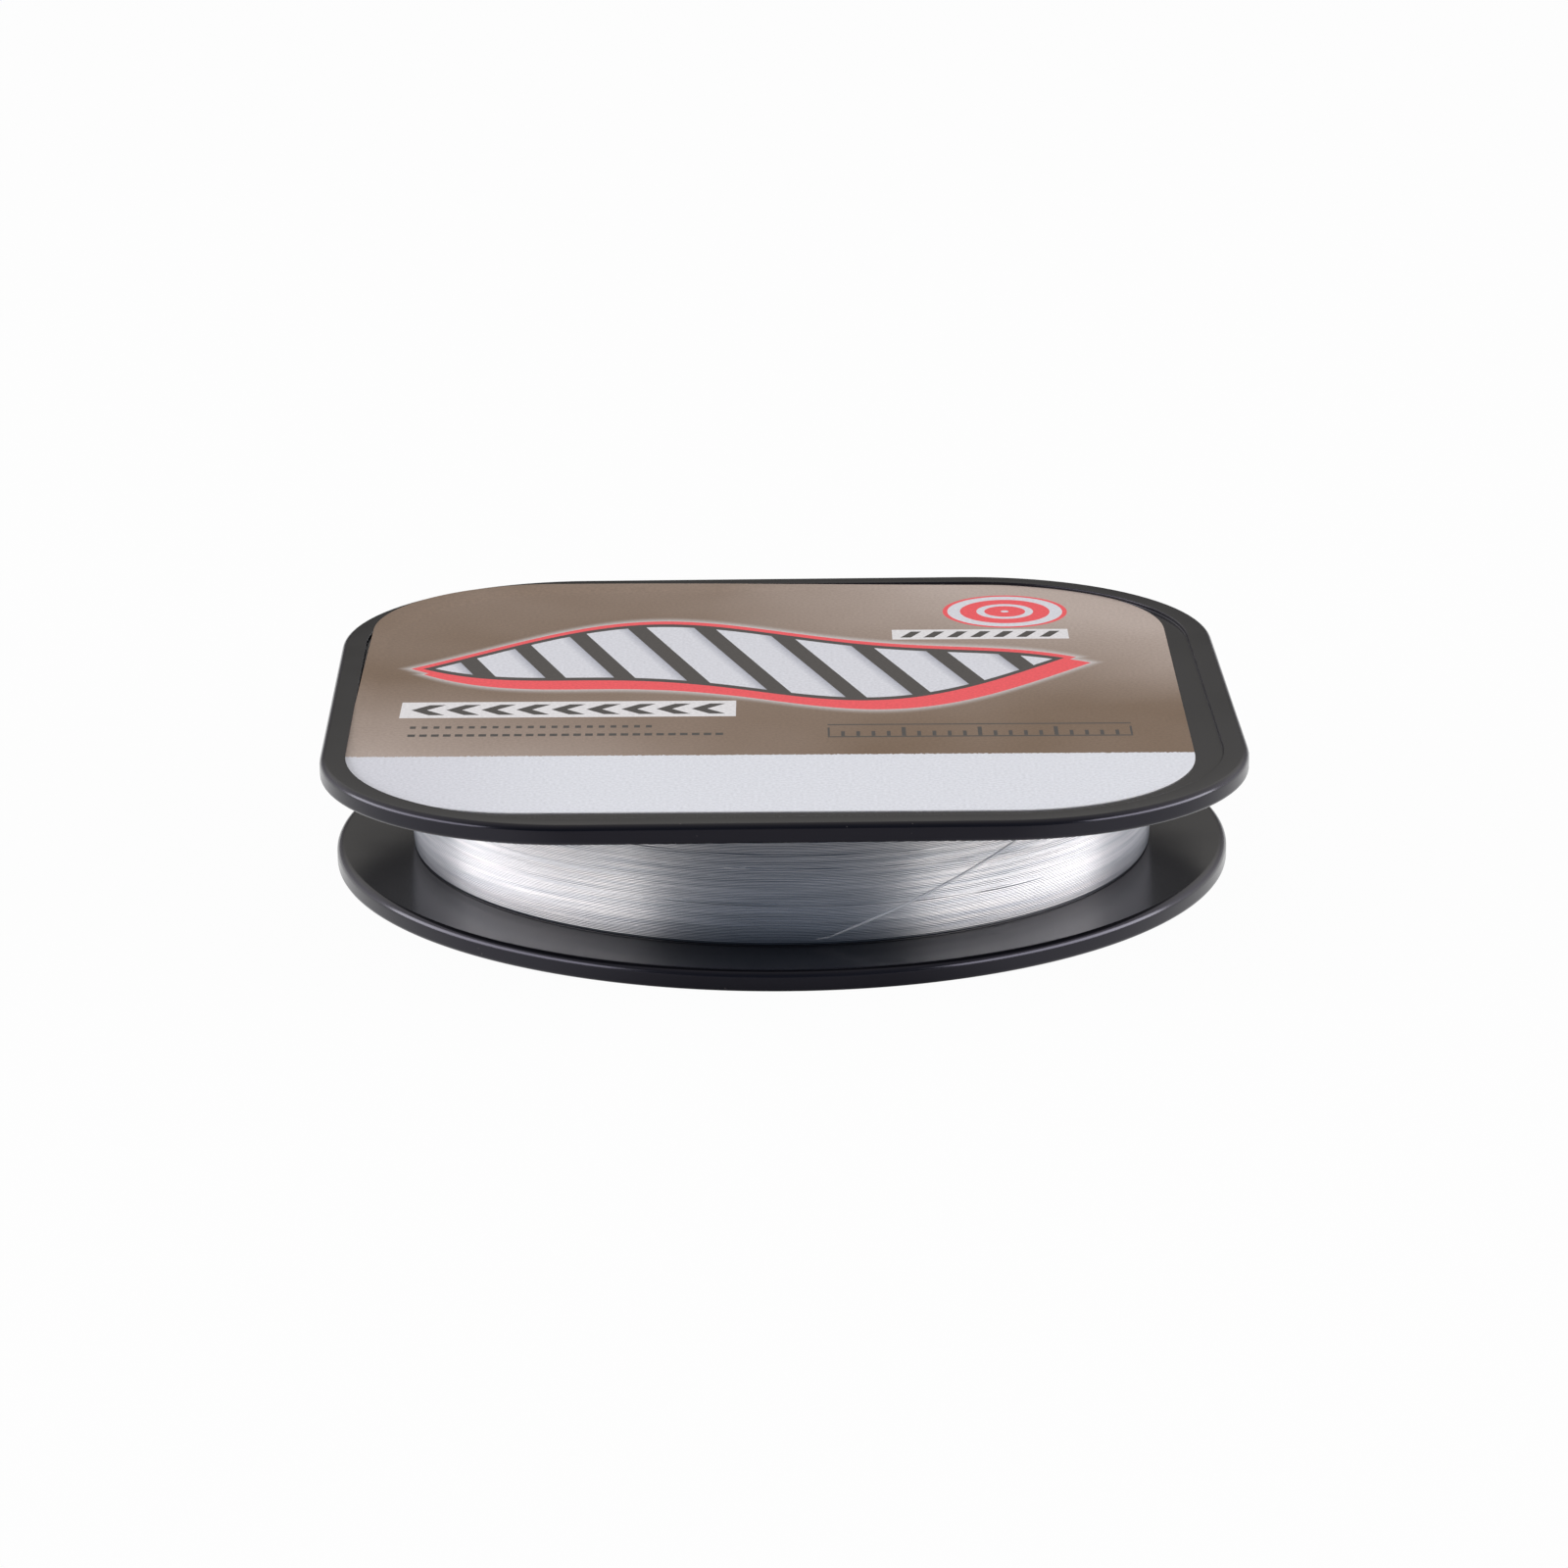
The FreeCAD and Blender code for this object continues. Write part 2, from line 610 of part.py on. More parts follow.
curves = []
spot, heading = turns_end, last_heading
for next_spot, next_heading in tail_knots:
    curves += biarc(spot, heading, next_spot, next_heading)
    spot, heading = next_spot, next_heading
slit_roof = value("panel_under") + value("slit_depth")
curves.append(Part.LineSegment(spot, Vector(spot.x, spot.y, slit_roof - value("slit_clearance") / 2)))
strand("line_tail", curves, turns_end, last_heading)

# First end: passes in through the barrel's wall and is held by its knot

inner_strand = doc.addObject("Part::Cylinder", "inner_strand")
bind(inner_strand, "Radius", "{line_diameter} / 2")
bind(inner_strand, "Height", "{bed_inside} - {barrel_inside} + {knot_diameter} / 2")
inner_strand.Placement = Placement(Vector(), Rotation(Vector(1, 0, 0), 90))
bind(inner_strand, "Placement.Base.y", "{bed_inside}")
bind(inner_strand, "Placement.Base.z", "{anchor_height}")
knot = doc.addObject("Part::Sphere", "knot")
bind(knot, "Radius", "{knot_diameter} / 2")
bind(knot, "Placement.Base.y", "{barrel_inside} - {knot_diameter} / 2 - {layer_clearance}")
bind(knot, "Placement.Base.z", "{anchor_height}")
line_start = doc.addObject("Part::Fuse", "line_start")
line_start.Label = "line_start"
line_start.Base = inner_strand
line_start.Tool = knot

# Check everything, then write each piece

doc.recompute()
for item in doc.Objects:
    if "Invalid" in item.State or "Error" in item.State:
        raise RuntimeError(f"{item.Label} failed: {item.State}")
nodes = [round_half, square_half, label, bed, layer, doc.getObject("line_tail"), line_start]
for node in nodes:
    shape = node.Shape
    if shape.isNull() or not shape.isValid() or shape.Volume <= 0:
        raise RuntimeError(f"{node.Label} has no valid shape")
    print(f"{node.Label}: {len(shape.Solids)} solid, {shape.Volume:.1f} cubic mm")
os.makedirs("parts", exist_ok=True)
for node in nodes:
    node.Shape.exportStep(f"parts/{node.Label}.step")
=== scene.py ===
import math
import random

import bmesh
import bpy
from mathutils import Matrix, Vector, noise


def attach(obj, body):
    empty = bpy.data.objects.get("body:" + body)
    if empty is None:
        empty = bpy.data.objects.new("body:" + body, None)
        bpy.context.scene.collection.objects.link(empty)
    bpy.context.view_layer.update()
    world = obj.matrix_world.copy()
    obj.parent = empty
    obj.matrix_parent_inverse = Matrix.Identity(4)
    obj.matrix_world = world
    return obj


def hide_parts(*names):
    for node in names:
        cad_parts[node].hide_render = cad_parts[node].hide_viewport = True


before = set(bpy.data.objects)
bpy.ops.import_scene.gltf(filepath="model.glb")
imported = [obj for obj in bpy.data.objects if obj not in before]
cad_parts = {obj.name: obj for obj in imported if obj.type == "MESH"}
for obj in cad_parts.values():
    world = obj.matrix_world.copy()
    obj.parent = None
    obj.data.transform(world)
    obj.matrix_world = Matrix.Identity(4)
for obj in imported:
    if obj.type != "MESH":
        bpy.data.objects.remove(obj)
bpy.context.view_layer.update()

mm = 0.001
print("frame loaded:", ", ".join(sorted(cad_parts)))


# Camera, at the photograph's viewing angle

camera = {
    "azimuth": -0.93,       # degrees, from straight in front
    "elevation": 17.4,
    "distance": 698.8,      # mm, from the middle of the underside
    "roll": -0.36,
    "lens": 131.6,          # mm, on Blender's own sensor width
    "clipStart": 0.01,      # m
    "shiftRight": 0.0014,   # share of the picture's width
    "shiftUp": 0.0418,
}


def addCamera(c):
    azimuth, elevation, roll = (math.radians(c[k]) for k in ("azimuth", "elevation", "roll"))
    back = Vector((math.sin(azimuth) * math.cos(elevation),
                   -math.cos(azimuth) * math.cos(elevation), math.sin(elevation)))
    levelRight = Vector((math.cos(azimuth), math.sin(azimuth), 0))
    levelUp = back.cross(levelRight)
    right = levelRight * math.cos(roll) + levelUp * math.sin(roll)
    up = levelUp * math.cos(roll) - levelRight * math.sin(roll)
    data = bpy.data.cameras.new("photo_camera")
    data.lens = c["lens"]
    data.shift_x = c["shiftRight"]
    data.shift_y = c["shiftUp"]
    data.clip_start = c["clipStart"]
    seen = bpy.data.objects.new("photo_camera", data)
    bpy.context.scene.collection.objects.link(seen)
    turn = Matrix((right, up, back)).transposed().to_4x4()
    seen.matrix_world = Matrix.Translation(back * c["distance"] * mm) @ turn
    bpy.context.scene.camera = seen


addCamera(camera)
print("camera set")


# Materials: helpers

# Blender's noise stays mostly between these two values.
noiseLow = 0.3
noiseHigh = 0.7


def linear(hexColour):
    # An sRGB hex value as linear red, green, blue and a full alpha.
    parts = [int(hexColour[i:i + 2], 16) / 255 for i in (1, 3, 5)]
    return [p / 12.92 if p <= 0.04045 else ((p + 0.055) / 1.055) ** 2.4 for p in parts] + [1.0]


def addNode(tree, kind, settings=None, inputs=None):
    # A node with its settings, and its inputs set to a value or linked: to a given output, or to
    # another node's first output in use.
    node = tree.nodes.new("ShaderNode" + kind)
    for name, setting in (settings or {}).items():
        setattr(node, name, setting)
    for name, source in (inputs or {}).items():
        if isinstance(source, bpy.types.Node):
            source = next(output for output in source.outputs if output.enabled)
        if isinstance(source, bpy.types.NodeSocket):
            tree.links.new(source, node.inputs[name])
        else:
            node.inputs[name].default_value = source
    return node


def newMaterial(name):
    material = bpy.data.materials.new(name)
    material.use_nodes = True
    material.node_tree.nodes.clear()
    return material, material.node_tree


# Black styrene, injection moulded in a polished tool: deep black that mirrors softly, with a faint
# unevenness left by the moulding and a little pale dust.

styrene = {
    "colour": "#08080b",
    "flowColour": "#0e0e12",
    "glossTint": "#efebff",
    "dustColour": "#6e6a66",
    "ior": 1.5,
    "specular": 0.4,        # 0.5 is the gloss that the ior gives by itself
    "roughness": 0.16,
    "roughnessSpread": 0.06,
    "flowSize": 14.0,       # mm, drifts of slightly duller gloss
    "grainSize": 0.6,       # mm, unevenness of the polish
    "grainDepth": 0.004,    # mm
    "grainStrength": 0.35,
    "dustSize": 1.1,        # mm between specks
    "speckEdge": (0.05, 0.09),      # where a speck starts to fade and where it ends, as shares of it
    "speckStrength": 0.5,
    "patchSpecks": 3,       # specks across a dusty patch
    "patchEdge": (0.60, 0.66),      # noise values between which a patch starts
}


def makeStyrene(s):
    material, tree = newMaterial("moulded_black_styrene")
    place = addNode(tree, "TexCoord").outputs["Object"]
    flow = addNode(tree, "TexNoise", None, {
        "Vector": place, "Scale": 1 / (s["flowSize"] * mm), "Detail": 2.0})
    colour = addNode(tree, "Mix", {"data_type": "RGBA"}, {
        "Factor": flow, "A": linear(s["colour"]), "B": linear(s["flowColour"])})
    specks = addNode(tree, "TexVoronoi", None, {"Vector": place, "Scale": 1 / (s["dustSize"] * mm)})
    patches = addNode(tree, "TexNoise", None, {
        "Vector": place, "Scale": 1 / (s["dustSize"] * s["patchSpecks"] * mm), "Detail": 0.0})
    onSpeck = addNode(tree, "MapRange", None, {
        "Value": specks, "From Min": s["speckEdge"][0], "From Max": s["speckEdge"][1],
        "To Min": s["speckStrength"], "To Max": 0.0})
    inPatch = addNode(tree, "MapRange", None, {
        "Value": patches, "From Min": s["patchEdge"][0], "From Max": s["patchEdge"][1]})
    dust = addNode(tree, "Math", {"operation": "MULTIPLY"}, {0: onSpeck, 1: inPatch})
    dusty = addNode(tree, "Mix", {"data_type": "RGBA"}, {
        "Factor": dust, "A": colour, "B": linear(s["dustColour"])})
    gloss = addNode(tree, "MapRange", None, {
        "Value": flow, "From Min": noiseLow, "From Max": noiseHigh,
        "To Min": s["roughness"], "To Max": s["roughness"] + s["roughnessSpread"]})
    grain = addNode(tree, "TexNoise", None, {
        "Vector": place, "Scale": 1 / (s["grainSize"] * mm), "Detail": 3.0})
    bump = addNode(tree, "Bump", None, {
        "Height": grain, "Strength": s["grainStrength"], "Distance": s["grainDepth"] * mm})
    surface = addNode(tree, "BsdfPrincipled", None, {
        "Base Color": dusty, "Roughness": gloss, "IOR": s["ior"],
        "Specular IOR Level": s["specular"], "Specular Tint": linear(s["glossTint"]),
        "Normal": bump})
    addNode(tree, "OutputMaterial", None, {"Surface": surface})
    return material


# Clear fluorocarbon line, drawn: each strand is a smooth clear rod. Many of them over each other
# mirror light as brushed metal does, in bands that run along the turns. Close to a flange they are
# painted darker: painted shade from the flange, partly the black plastic showing through them.

clearLine = {
    "name": "drawn_clear_fluorocarbon",
    "colour": "#52677f",    # the line itself, in its lighter and its deeper streaks
    "deepColour": "#344352",
    "silver": "#e2dcd7",    # what it mirrors, in the same streaks
    "deepSilver": "#c1c2c5",
    "silverShare": 0.6,
    "ior": 1.42,
    "roughness": 0.29,
    "opaque": 1.0,          # under 1, what lies behind shows through
    "streakSize": 0.45,     # mm across the turns
    "streakLength": 16.0,   # mm along them
    "middle": 10.2,         # mm above the underside, halfway between the flanges
    "paintedShadeFrom": 4.4,         # mm from there, where the painted shade begins
    "paintedShadeFull": 7.4,          # mm from there, where the painted shade is deepest
    "paintedShadeDarkest": 0.42,
}

# A single strand over the others has paler colours painted on: painted light, as the clear strand
# looks lighter with nothing dark close behind it. It lets them show through.
loneLine = dict(clearLine, name="drawn_clear_fluorocarbon_single_strand", colour="#dcdfe4",
                deepColour="#cfd3da", silver="#f6f4f3", deepSilver="#dfe0e3", silverShare=0.15,
                opaque=0.5)


def makeClearLine(c):
    material, tree = newMaterial(c["name"])
    place = addNode(tree, "TexCoord").outputs["Object"]
    along, across = (1 / (c[size] * mm) for size in ("streakLength", "streakSize"))
    drawnOut = addNode(tree, "Mapping", None, {"Vector": place, "Scale": (along, along, across)})
    streaks = addNode(tree, "TexNoise", None, {"Vector": drawnOut, "Scale": 1.0, "Detail": 3.0})
    share = addNode(tree, "MapRange", None, {
        "Value": streaks, "From Min": noiseLow, "From Max": noiseHigh})
    colour = addNode(tree, "Mix", {"data_type": "RGBA"}, {
        "Factor": share, "A": linear(c["deepColour"]), "B": linear(c["colour"])})
    sheen = addNode(tree, "Mix", {"data_type": "RGBA"}, {
        "Factor": share, "A": linear(c["deepSilver"]), "B": linear(c["silver"])})
    # Painted shade: the colours darken towards either flange, for the shade there, partly the black
    # plastic seen through the clear line.
    level = addNode(tree, "SeparateXYZ", None, {0: place}).outputs["Z"]
    offMiddle = addNode(tree, "Math", {"operation": "SUBTRACT"}, {0: level, 1: c["middle"] * mm})
    away = addNode(tree, "Math", {"operation": "ABSOLUTE"}, {0: offMiddle})
    depth = addNode(tree, "MapRange", None, {
        "Value": away, "From Min": c["paintedShadeFrom"] * mm, "From Max": c["paintedShadeFull"] * mm,
        "To Min": 1.0, "To Max": c["paintedShadeDarkest"]})
    shaded = [addNode(tree, "HueSaturation", None, {"Color": tone, "Value": depth})
              for tone in (colour, sheen)]
    clear = addNode(tree, "BsdfPrincipled", None, {
        "Base Color": shaded[0], "Roughness": c["roughness"], "IOR": c["ior"],
        "Alpha": c["opaque"]})
    silver = addNode(tree, "BsdfPrincipled", None, {
        "Base Color": shaded[1], "Roughness": c["roughness"], "Metallic": 1.0,
        "Alpha": c["opaque"]})
    both = addNode(tree, "MixShader", None, {"Fac": c["silverShare"], 1: clear, 2: silver})
    addNode(tree, "OutputMaterial", None, {"Surface": both})
    return material


blackStyrene = makeStyrene(styrene)
lineMaterial = makeClearLine(clearLine)
loneLineMaterial = makeClearLine(loneLine)
print("plastic and line materials made")


# Pieces: helpers. Shapes are worked out in mm and finished in metres.

mergeDistance = 1e-4        # mm, points closer than this become one
levelTolerance = 1e-3       # mm


def addPiece(name, mesh, body, stoodFor, materials):
    mesh.name = name
    piece = bpy.data.objects.new(name, mesh)
    bpy.context.scene.collection.objects.link(piece)
    for material in materials:
        mesh.materials.append(material)
    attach(piece, body)
    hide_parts(*stoodFor)
    return piece


def meshFrom(bm, name, sharpFrom=None):
    # The finished mesh, in metres and smooth up to an angle where one is given.
    if sharpFrom:
        bmesh.ops.scale(bm, verts=bm.verts[:], vec=(mm, mm, mm))
        for face in bm.faces:
            face.smooth = True
    mesh = bpy.data.meshes.new(name)
    bm.to_mesh(mesh)
    bm.free()
    if sharpFrom:
        mesh.set_sharp_from_angle(angle=math.radians(sharpFrom))
    return mesh


def lathe(profile, roundings, steps):
    # A closed outline of places out from the axis and up, spun to a ring. Corners that are named
    # with a radius and segments are rounded, and chamfered with a single segment.
    bm = bmesh.new()
    corners = [bm.verts.new((out, 0, level)) for out, level in profile]
    bm.faces.new(corners)
    for corner, radius, segments in roundings:
        bmesh.ops.bevel(bm, geom=[corners[corner]], offset=radius, offset_type="OFFSET",
                        affect="VERTICES", segments=segments, profile=0.5, material=-1)
    bmesh.ops.delete(bm, geom=bm.faces[:], context="FACES_ONLY")
    bmesh.ops.spin(bm, geom=bm.verts[:] + bm.edges[:], cent=(0, 0, 0), axis=(0, 0, 1),
                   angle=2 * math.pi, steps=steps, use_merge=True, use_duplicate=False)
    bmesh.ops.remove_doubles(bm, verts=bm.verts[:], dist=mergeDistance)
    bmesh.ops.recalc_face_normals(bm, faces=bm.faces[:])
    return bm


def block(near, far, width, low, high, turn):
    # A box along a spoke: near and far from the axis, turned round it by degrees.
    bm = bmesh.new()
    bmesh.ops.create_cube(bm, size=1)
    bmesh.ops.scale(bm, verts=bm.verts[:], vec=(far - near, width, high - low))
    bmesh.ops.translate(bm, verts=bm.verts[:], vec=((near + far) / 2, 0, (low + high) / 2))
    bmesh.ops.rotate(bm, verts=bm.verts[:], cent=(0, 0, 0),
                     matrix=Matrix.Rotation(math.radians(turn), 3, "Z"))
    return bm


def combine(base, changes):
    # The base shape with others joined to it or cut from it, one after another.
    made = bpy.data.objects.new("base", meshFrom(base, "base"))
    bpy.context.scene.collection.objects.link(made)
    tools = []
    for kind, shape in changes:
        tool = bpy.data.objects.new("tool", meshFrom(shape, "tool"))
        bpy.context.scene.collection.objects.link(tool)
        modifier = made.modifiers.new(kind, "BOOLEAN")
        modifier.operation = kind
        modifier.solver = "EXACT"
        modifier.object = tool
        tools.append(tool)
    evaluated = made.evaluated_get(bpy.context.evaluated_depsgraph_get())
    bm = bmesh.new()
    bm.from_mesh(evaluated.to_mesh())
    evaluated.to_mesh_clear()
    for spent in tools + [made]:
        spentMesh = spent.data
        bpy.data.objects.remove(spent)
        bpy.data.meshes.remove(spentMesh)
    bmesh.ops.remove_doubles(bm, verts=bm.verts[:], dist=mergeDistance)
    return bm


def evenShading(piece):
    # Flat faces keep their own shading beside a small rounding.
    modifier = piece.modifiers.new("even_shading", "WEIGHTED_NORMAL")
    modifier.keep_sharp = True


def smoothStep(low, high, spot):
    share = min(max((spot - low) / (high - low), 0.0), 1.0)
    return share * share * (3 - 2 * share)


# Round half: flange with a foot ring under its rim, barrel, hub ribs and a sleeve round the bore

roundHalf = {
    "rim": 54.0,
    "rimRounding": 0.9,
    "rimSegments": 8,
    "foot": 51.8,
    "footRise": 0.9,
    "footRounding": 0.5,
    "footSegments": 4,
    "webTop": 2.5,
    "barrel": 39.5,
    "barrelInside": 37.7,
    "barrelTop": 18.0,
    "leadIn": 0.4,
    "bore": 6.0,
    "sleeve": 8.0,
    "sleeveTop": 17.4,
    "sleeveSteps": 96,
    "ribs": 6,
    "ribFrom": 7.0,
    "ribTo": 38.6,
    "ribThickness": 1.2,
    "ribLow": 0.6,
    "ribTop": 12.6,
    "anchorLevel": 5.0,
    "anchorHole": 1.0,      # across, for the line's first end
    "anchorSteps": 24,
    "drillLength": 6.0,     # of the cut that makes that hole
    "drillOut": 1.0,        # from the barrel's inside to the middle of that cut
    "steps": 288,
}


def makeRoundHalf(r):
    profile = [
        (r["barrelInside"], 0), (r["barrel"], 0), (r["barrel"], r["footRise"]),
        (r["foot"], r["footRise"]), (r["foot"], 0), (r["rim"], 0),
        (r["rim"], r["webTop"]), (r["barrel"], r["webTop"]), (r["barrel"], r["barrelTop"]),
        (r["barrelInside"], r["barrelTop"]),
    ]
    underRim, overRim, barrelMouth = 5, 6, 9    # corners of that outline
    roundings = [(underRim, r["footRounding"], r["footSegments"]),
                 (overRim, r["rimRounding"], r["rimSegments"]), (barrelMouth, r["leadIn"], 1)]
    flange = lathe(profile, roundings, r["steps"])
    sleeve = lathe([(r["bore"], 0), (r["sleeve"], 0), (r["sleeve"], r["sleeveTop"]),
                    (r["bore"], r["sleeveTop"])], [], r["sleeveSteps"])
    changes = [("UNION", sleeve)]
    for i in range(r["ribs"]):
        changes.append(("UNION", block(r["ribFrom"], r["ribTo"], r["ribThickness"],
                                       r["ribLow"], r["ribTop"], 360 * i / r["ribs"])))
    hole = bmesh.new()
    bmesh.ops.create_cone(hole, cap_ends=True, segments=r["anchorSteps"],
                          radius1=r["anchorHole"] / 2, radius2=r["anchorHole"] / 2,
                          depth=r["drillLength"])
    bmesh.ops.rotate(hole, verts=hole.verts[:], cent=(0, 0, 0),
                     matrix=Matrix.Rotation(math.pi / 2, 3, "X"))
    bmesh.ops.translate(hole, verts=hole.verts[:],
                        vec=(0, r["barrelInside"] + r["drillOut"], r["anchorLevel"]))
    changes.append(("DIFFERENCE", hole))
    return meshFrom(combine(flange, changes), "spool_round_half", sharpFrom=35)


roundPiece = addPiece("spool_round_half", makeRoundHalf(roundHalf), "base",
                      ["round_half"], [blackStyrene])
evenShading(roundPiece)
print("round half moulded")


# Square half: rounded-square flange with a recessed panel, slotted plug and collar

squareHalf = {
    "side": 108.5,
    "corner": 30.0,
    "cornerSteps": 24,
    "low": 17.65,
    "top": 20.0,
    "topRounding": 0.7,
    "underRounding": 0.5,
    "edgeSegments": 6,
    "border": 3.0,
    "recess": 0.5,
    "stepRounding": 0.12,
    "stepSegments": 4,
    "underBorder": 2.2,
    "panelUnder": 18.0,
    "overlap": 0.1,         # how far the plug and the collar reach into the panel
    "cutPast": 1.0,         # how far a cut reaches past what it cuts, up or down
    "plugFoot": 8.0,
    "plugRadius": 37.65,
    "plugBore": 36.05,
    "plugSteps": 192,
    "leadIn": 0.4,
    "slots": 6,
    "slotPast": 2.0,        # how far a slot's cut reaches past the plug's wall
    "slotWidth": 1.6,
    "slotTop": 12.8,
    "collarLow": 14.0,
    "collarBore": 8.05,
    "collarRadius": 9.55,
    "collarSteps": 96,
    "slitAngle": -40.2,     # degrees round from the right
    "slitFrom": 44.37,
    "slitTo": 52.37,
    "slitWidth": 0.53,
    "slitDepth": 1.0,
}


def roundedSquare(side, corner, steps):
    bm = bmesh.new()
    bmesh.ops.create_grid(bm, x_segments=1, y_segments=1, size=side / 2)
    bmesh.ops.bevel(bm, geom=bm.verts[:], offset=corner, offset_type="OFFSET", affect="VERTICES",
                    segments=steps, profile=0.5, material=-1)
    return bm


def makeSquareHalf(q):
    bm = roundedSquare(q["side"], q["corner"], q["cornerSteps"])
    raised = bmesh.ops.extrude_face_region(bm, geom=bm.faces[:])
    upper = [v for v in raised["geom"] if isinstance(v, bmesh.types.BMVert)]
    bmesh.ops.translate(bm, verts=bm.verts[:], vec=(0, 0, q["low"]))
    bmesh.ops.translate(bm, verts=upper, vec=(0, 0, q["top"] - q["low"]))
    bmesh.ops.recalc_face_normals(bm, faces=bm.faces[:])

    def flatAt(level):
        return max((f for f in bm.faces if abs(f.calc_center_median().z - level) < levelTolerance),
                   key=lambda f: f.calc_area())

    for level, rounding in ((q["top"], q["topRounding"]), (q["low"], q["underRounding"])):
        bmesh.ops.bevel(bm, geom=list(flatAt(level).edges), offset=rounding, offset_type="OFFSET",
                        affect="EDGES", segments=q["edgeSegments"], profile=0.5, material=-1)
    for level, border, rounding, depth in (
            (q["top"], q["border"], q["topRounding"], -q["recess"]),
            (q["low"], q["underBorder"], q["underRounding"], q["panelUnder"] - q["low"])):
        face = flatAt(level)
        bmesh.ops.inset_region(bm, faces=[face], thickness=border - rounding, use_even_offset=True)
        rim = list(face.edges)
        pushed = bmesh.ops.extrude_discrete_faces(bm, faces=[face])["faces"][0]
        bmesh.ops.translate(bm, verts=list(pushed.verts), vec=(0, 0, depth))
        if depth < 0:
            bmesh.ops.bevel(bm, geom=rim + list(pushed.edges), offset=q["stepRounding"],
                            offset_type="OFFSET", affect="EDGES", segments=q["stepSegments"],
                            profile=0.5, material=-1)
    bmesh.ops.recalc_face_normals(bm, faces=bm.faces[:])
    inPanel = q["panelUnder"] + q["overlap"]
    outerFoot = 1           # corner of the plug's outline
    plug = lathe([(q["plugBore"], q["plugFoot"]), (q["plugRadius"], q["plugFoot"]),
                  (q["plugRadius"], inPanel), (q["plugBore"], inPanel)],
                 [(outerFoot, q["leadIn"], 1)], q["plugSteps"])
    collar = lathe([(q["collarBore"], q["collarLow"]), (q["collarRadius"], q["collarLow"]),
                    (q["collarRadius"], inPanel), (q["collarBore"], inPanel)], [],
                   q["collarSteps"])
    changes = [("UNION", plug), ("UNION", collar)]
    for i in range(q["slots"]):
        slot = block(q["plugBore"] - q["slotPast"], q["plugRadius"] + q["slotPast"],
                     q["slotWidth"], q["plugFoot"] - q["cutPast"], q["slotTop"],
                     360 * i / q["slots"])
        changes.append(("DIFFERENCE", slot))
    slit = block(q["slitFrom"], q["slitTo"], q["slitWidth"], q["panelUnder"] - q["cutPast"],
                 q["panelUnder"] + q["slitDepth"], q["slitAngle"])
    changes.append(("DIFFERENCE", slit))
    return meshFrom(combine(bm, changes), "spool_square_half", sharpFrom=35)


squarePiece = addPiece("spool_square_half", makeSquareHalf(squareHalf), "face",
                       ["square_half"], [blackStyrene])
evenShading(squarePiece)
print("square half moulded")


# Line on the barrel: layers below, outermost turns, free end and knotted first end

winding = {
    "strand": 0.33,
    "barrelRadius": 39.55,
    "low": 2.65,
    "high": 17.7,
    "bedRadius": 44.64,
    "crown": 0.3,
    "rounding": 0.15,
    "bedRows": 60,
    "bedSteps": 240,
    "bevelResolution": 2,   # of a strand's round section
    "offset": 0.195,        # from the bed's surface to the middle of a strand
    "sink": 0.06,           # how much deeper the strands lie than that
    "turns": 84,
    "lowMargin": -0.12,     # the lowest turn is pressed against the flange
    "highMargin": 0.04,
    "stepsPerTurn": 112,
    "wander": 0.08,         # how far a turn strays up or down
    "wanderNoise": (1.3, 0.3),      # how fast that changes round the spool and from turn to turn
    "lift": 0.01,           # how far it strays in or out
    "liftNoise": (2.6, 2.3),
    "liftNoiseFrom": 40,    # keeps the two noises apart
    "crossings": 14,        # strands that slant over the others and sink between them at both ends
    "seed": 4,
    "crossingLength": (35, 120),    # degrees round the spool
    "crossingSlope": (0.6, 2.2),    # degrees
    "crossingMargin": 1,    # from the lowest and the highest turn
    "crossingSteps": 0.7,   # per degree
    "crossingEnds": 0.2,    # share of its length over which it rises or sinks
    "crossingSink": 0.14,
    "crossingRise": 0.12,
}


def bedRadiusAt(w, level):
    # The bed's radius in mm: a gentle crown with shoulders that are barely rounded.
    middle = (w["low"] + w["high"]) / 2
    half = (w["high"] - w["low"]) / 2
    crownRadius = (half ** 2 + w["crown"] ** 2) / (2 * w["crown"])
    crownCentre = w["bedRadius"] - crownRadius
    off = abs(level - middle)
    roundOff = half - w["rounding"]
    if off <= roundOff:
        return crownCentre + math.sqrt(crownRadius ** 2 - off ** 2)
    roundCentre = crownCentre + math.sqrt((crownRadius - w["rounding"]) ** 2 - roundOff ** 2)
    return roundCentre + math.sqrt(max(w["rounding"] ** 2 - (off - roundOff) ** 2, 0.0))


def makeLayers(w):
    bm = bmesh.new()
    profile = [Vector((w["barrelRadius"], 0, w["low"]))]
    for i in range(w["bedRows"] + 1):
        level = w["low"] + (w["high"] - w["low"]) * i / w["bedRows"]
        profile.append(Vector((bedRadiusAt(w, level), 0, level)))
    profile.append(Vector((w["barrelRadius"], 0, w["high"])))
    verts = [bm.verts.new(spot) for spot in profile]
    edges = [bm.edges.new(pair) for pair in zip(verts, verts[1:] + verts[:1])]
    bmesh.ops.spin(bm, geom=verts + edges, cent=(0, 0, 0), axis=(0, 0, 1), angle=2 * math.pi,
                   steps=w["bedSteps"], use_merge=True, use_duplicate=False)
    bmesh.ops.remove_doubles(bm, verts=bm.verts[:], dist=mergeDistance)
    bmesh.ops.recalc_face_normals(bm, faces=bm.faces[:])
    return meshFrom(bm, "line_layers", sharpFrom=40)


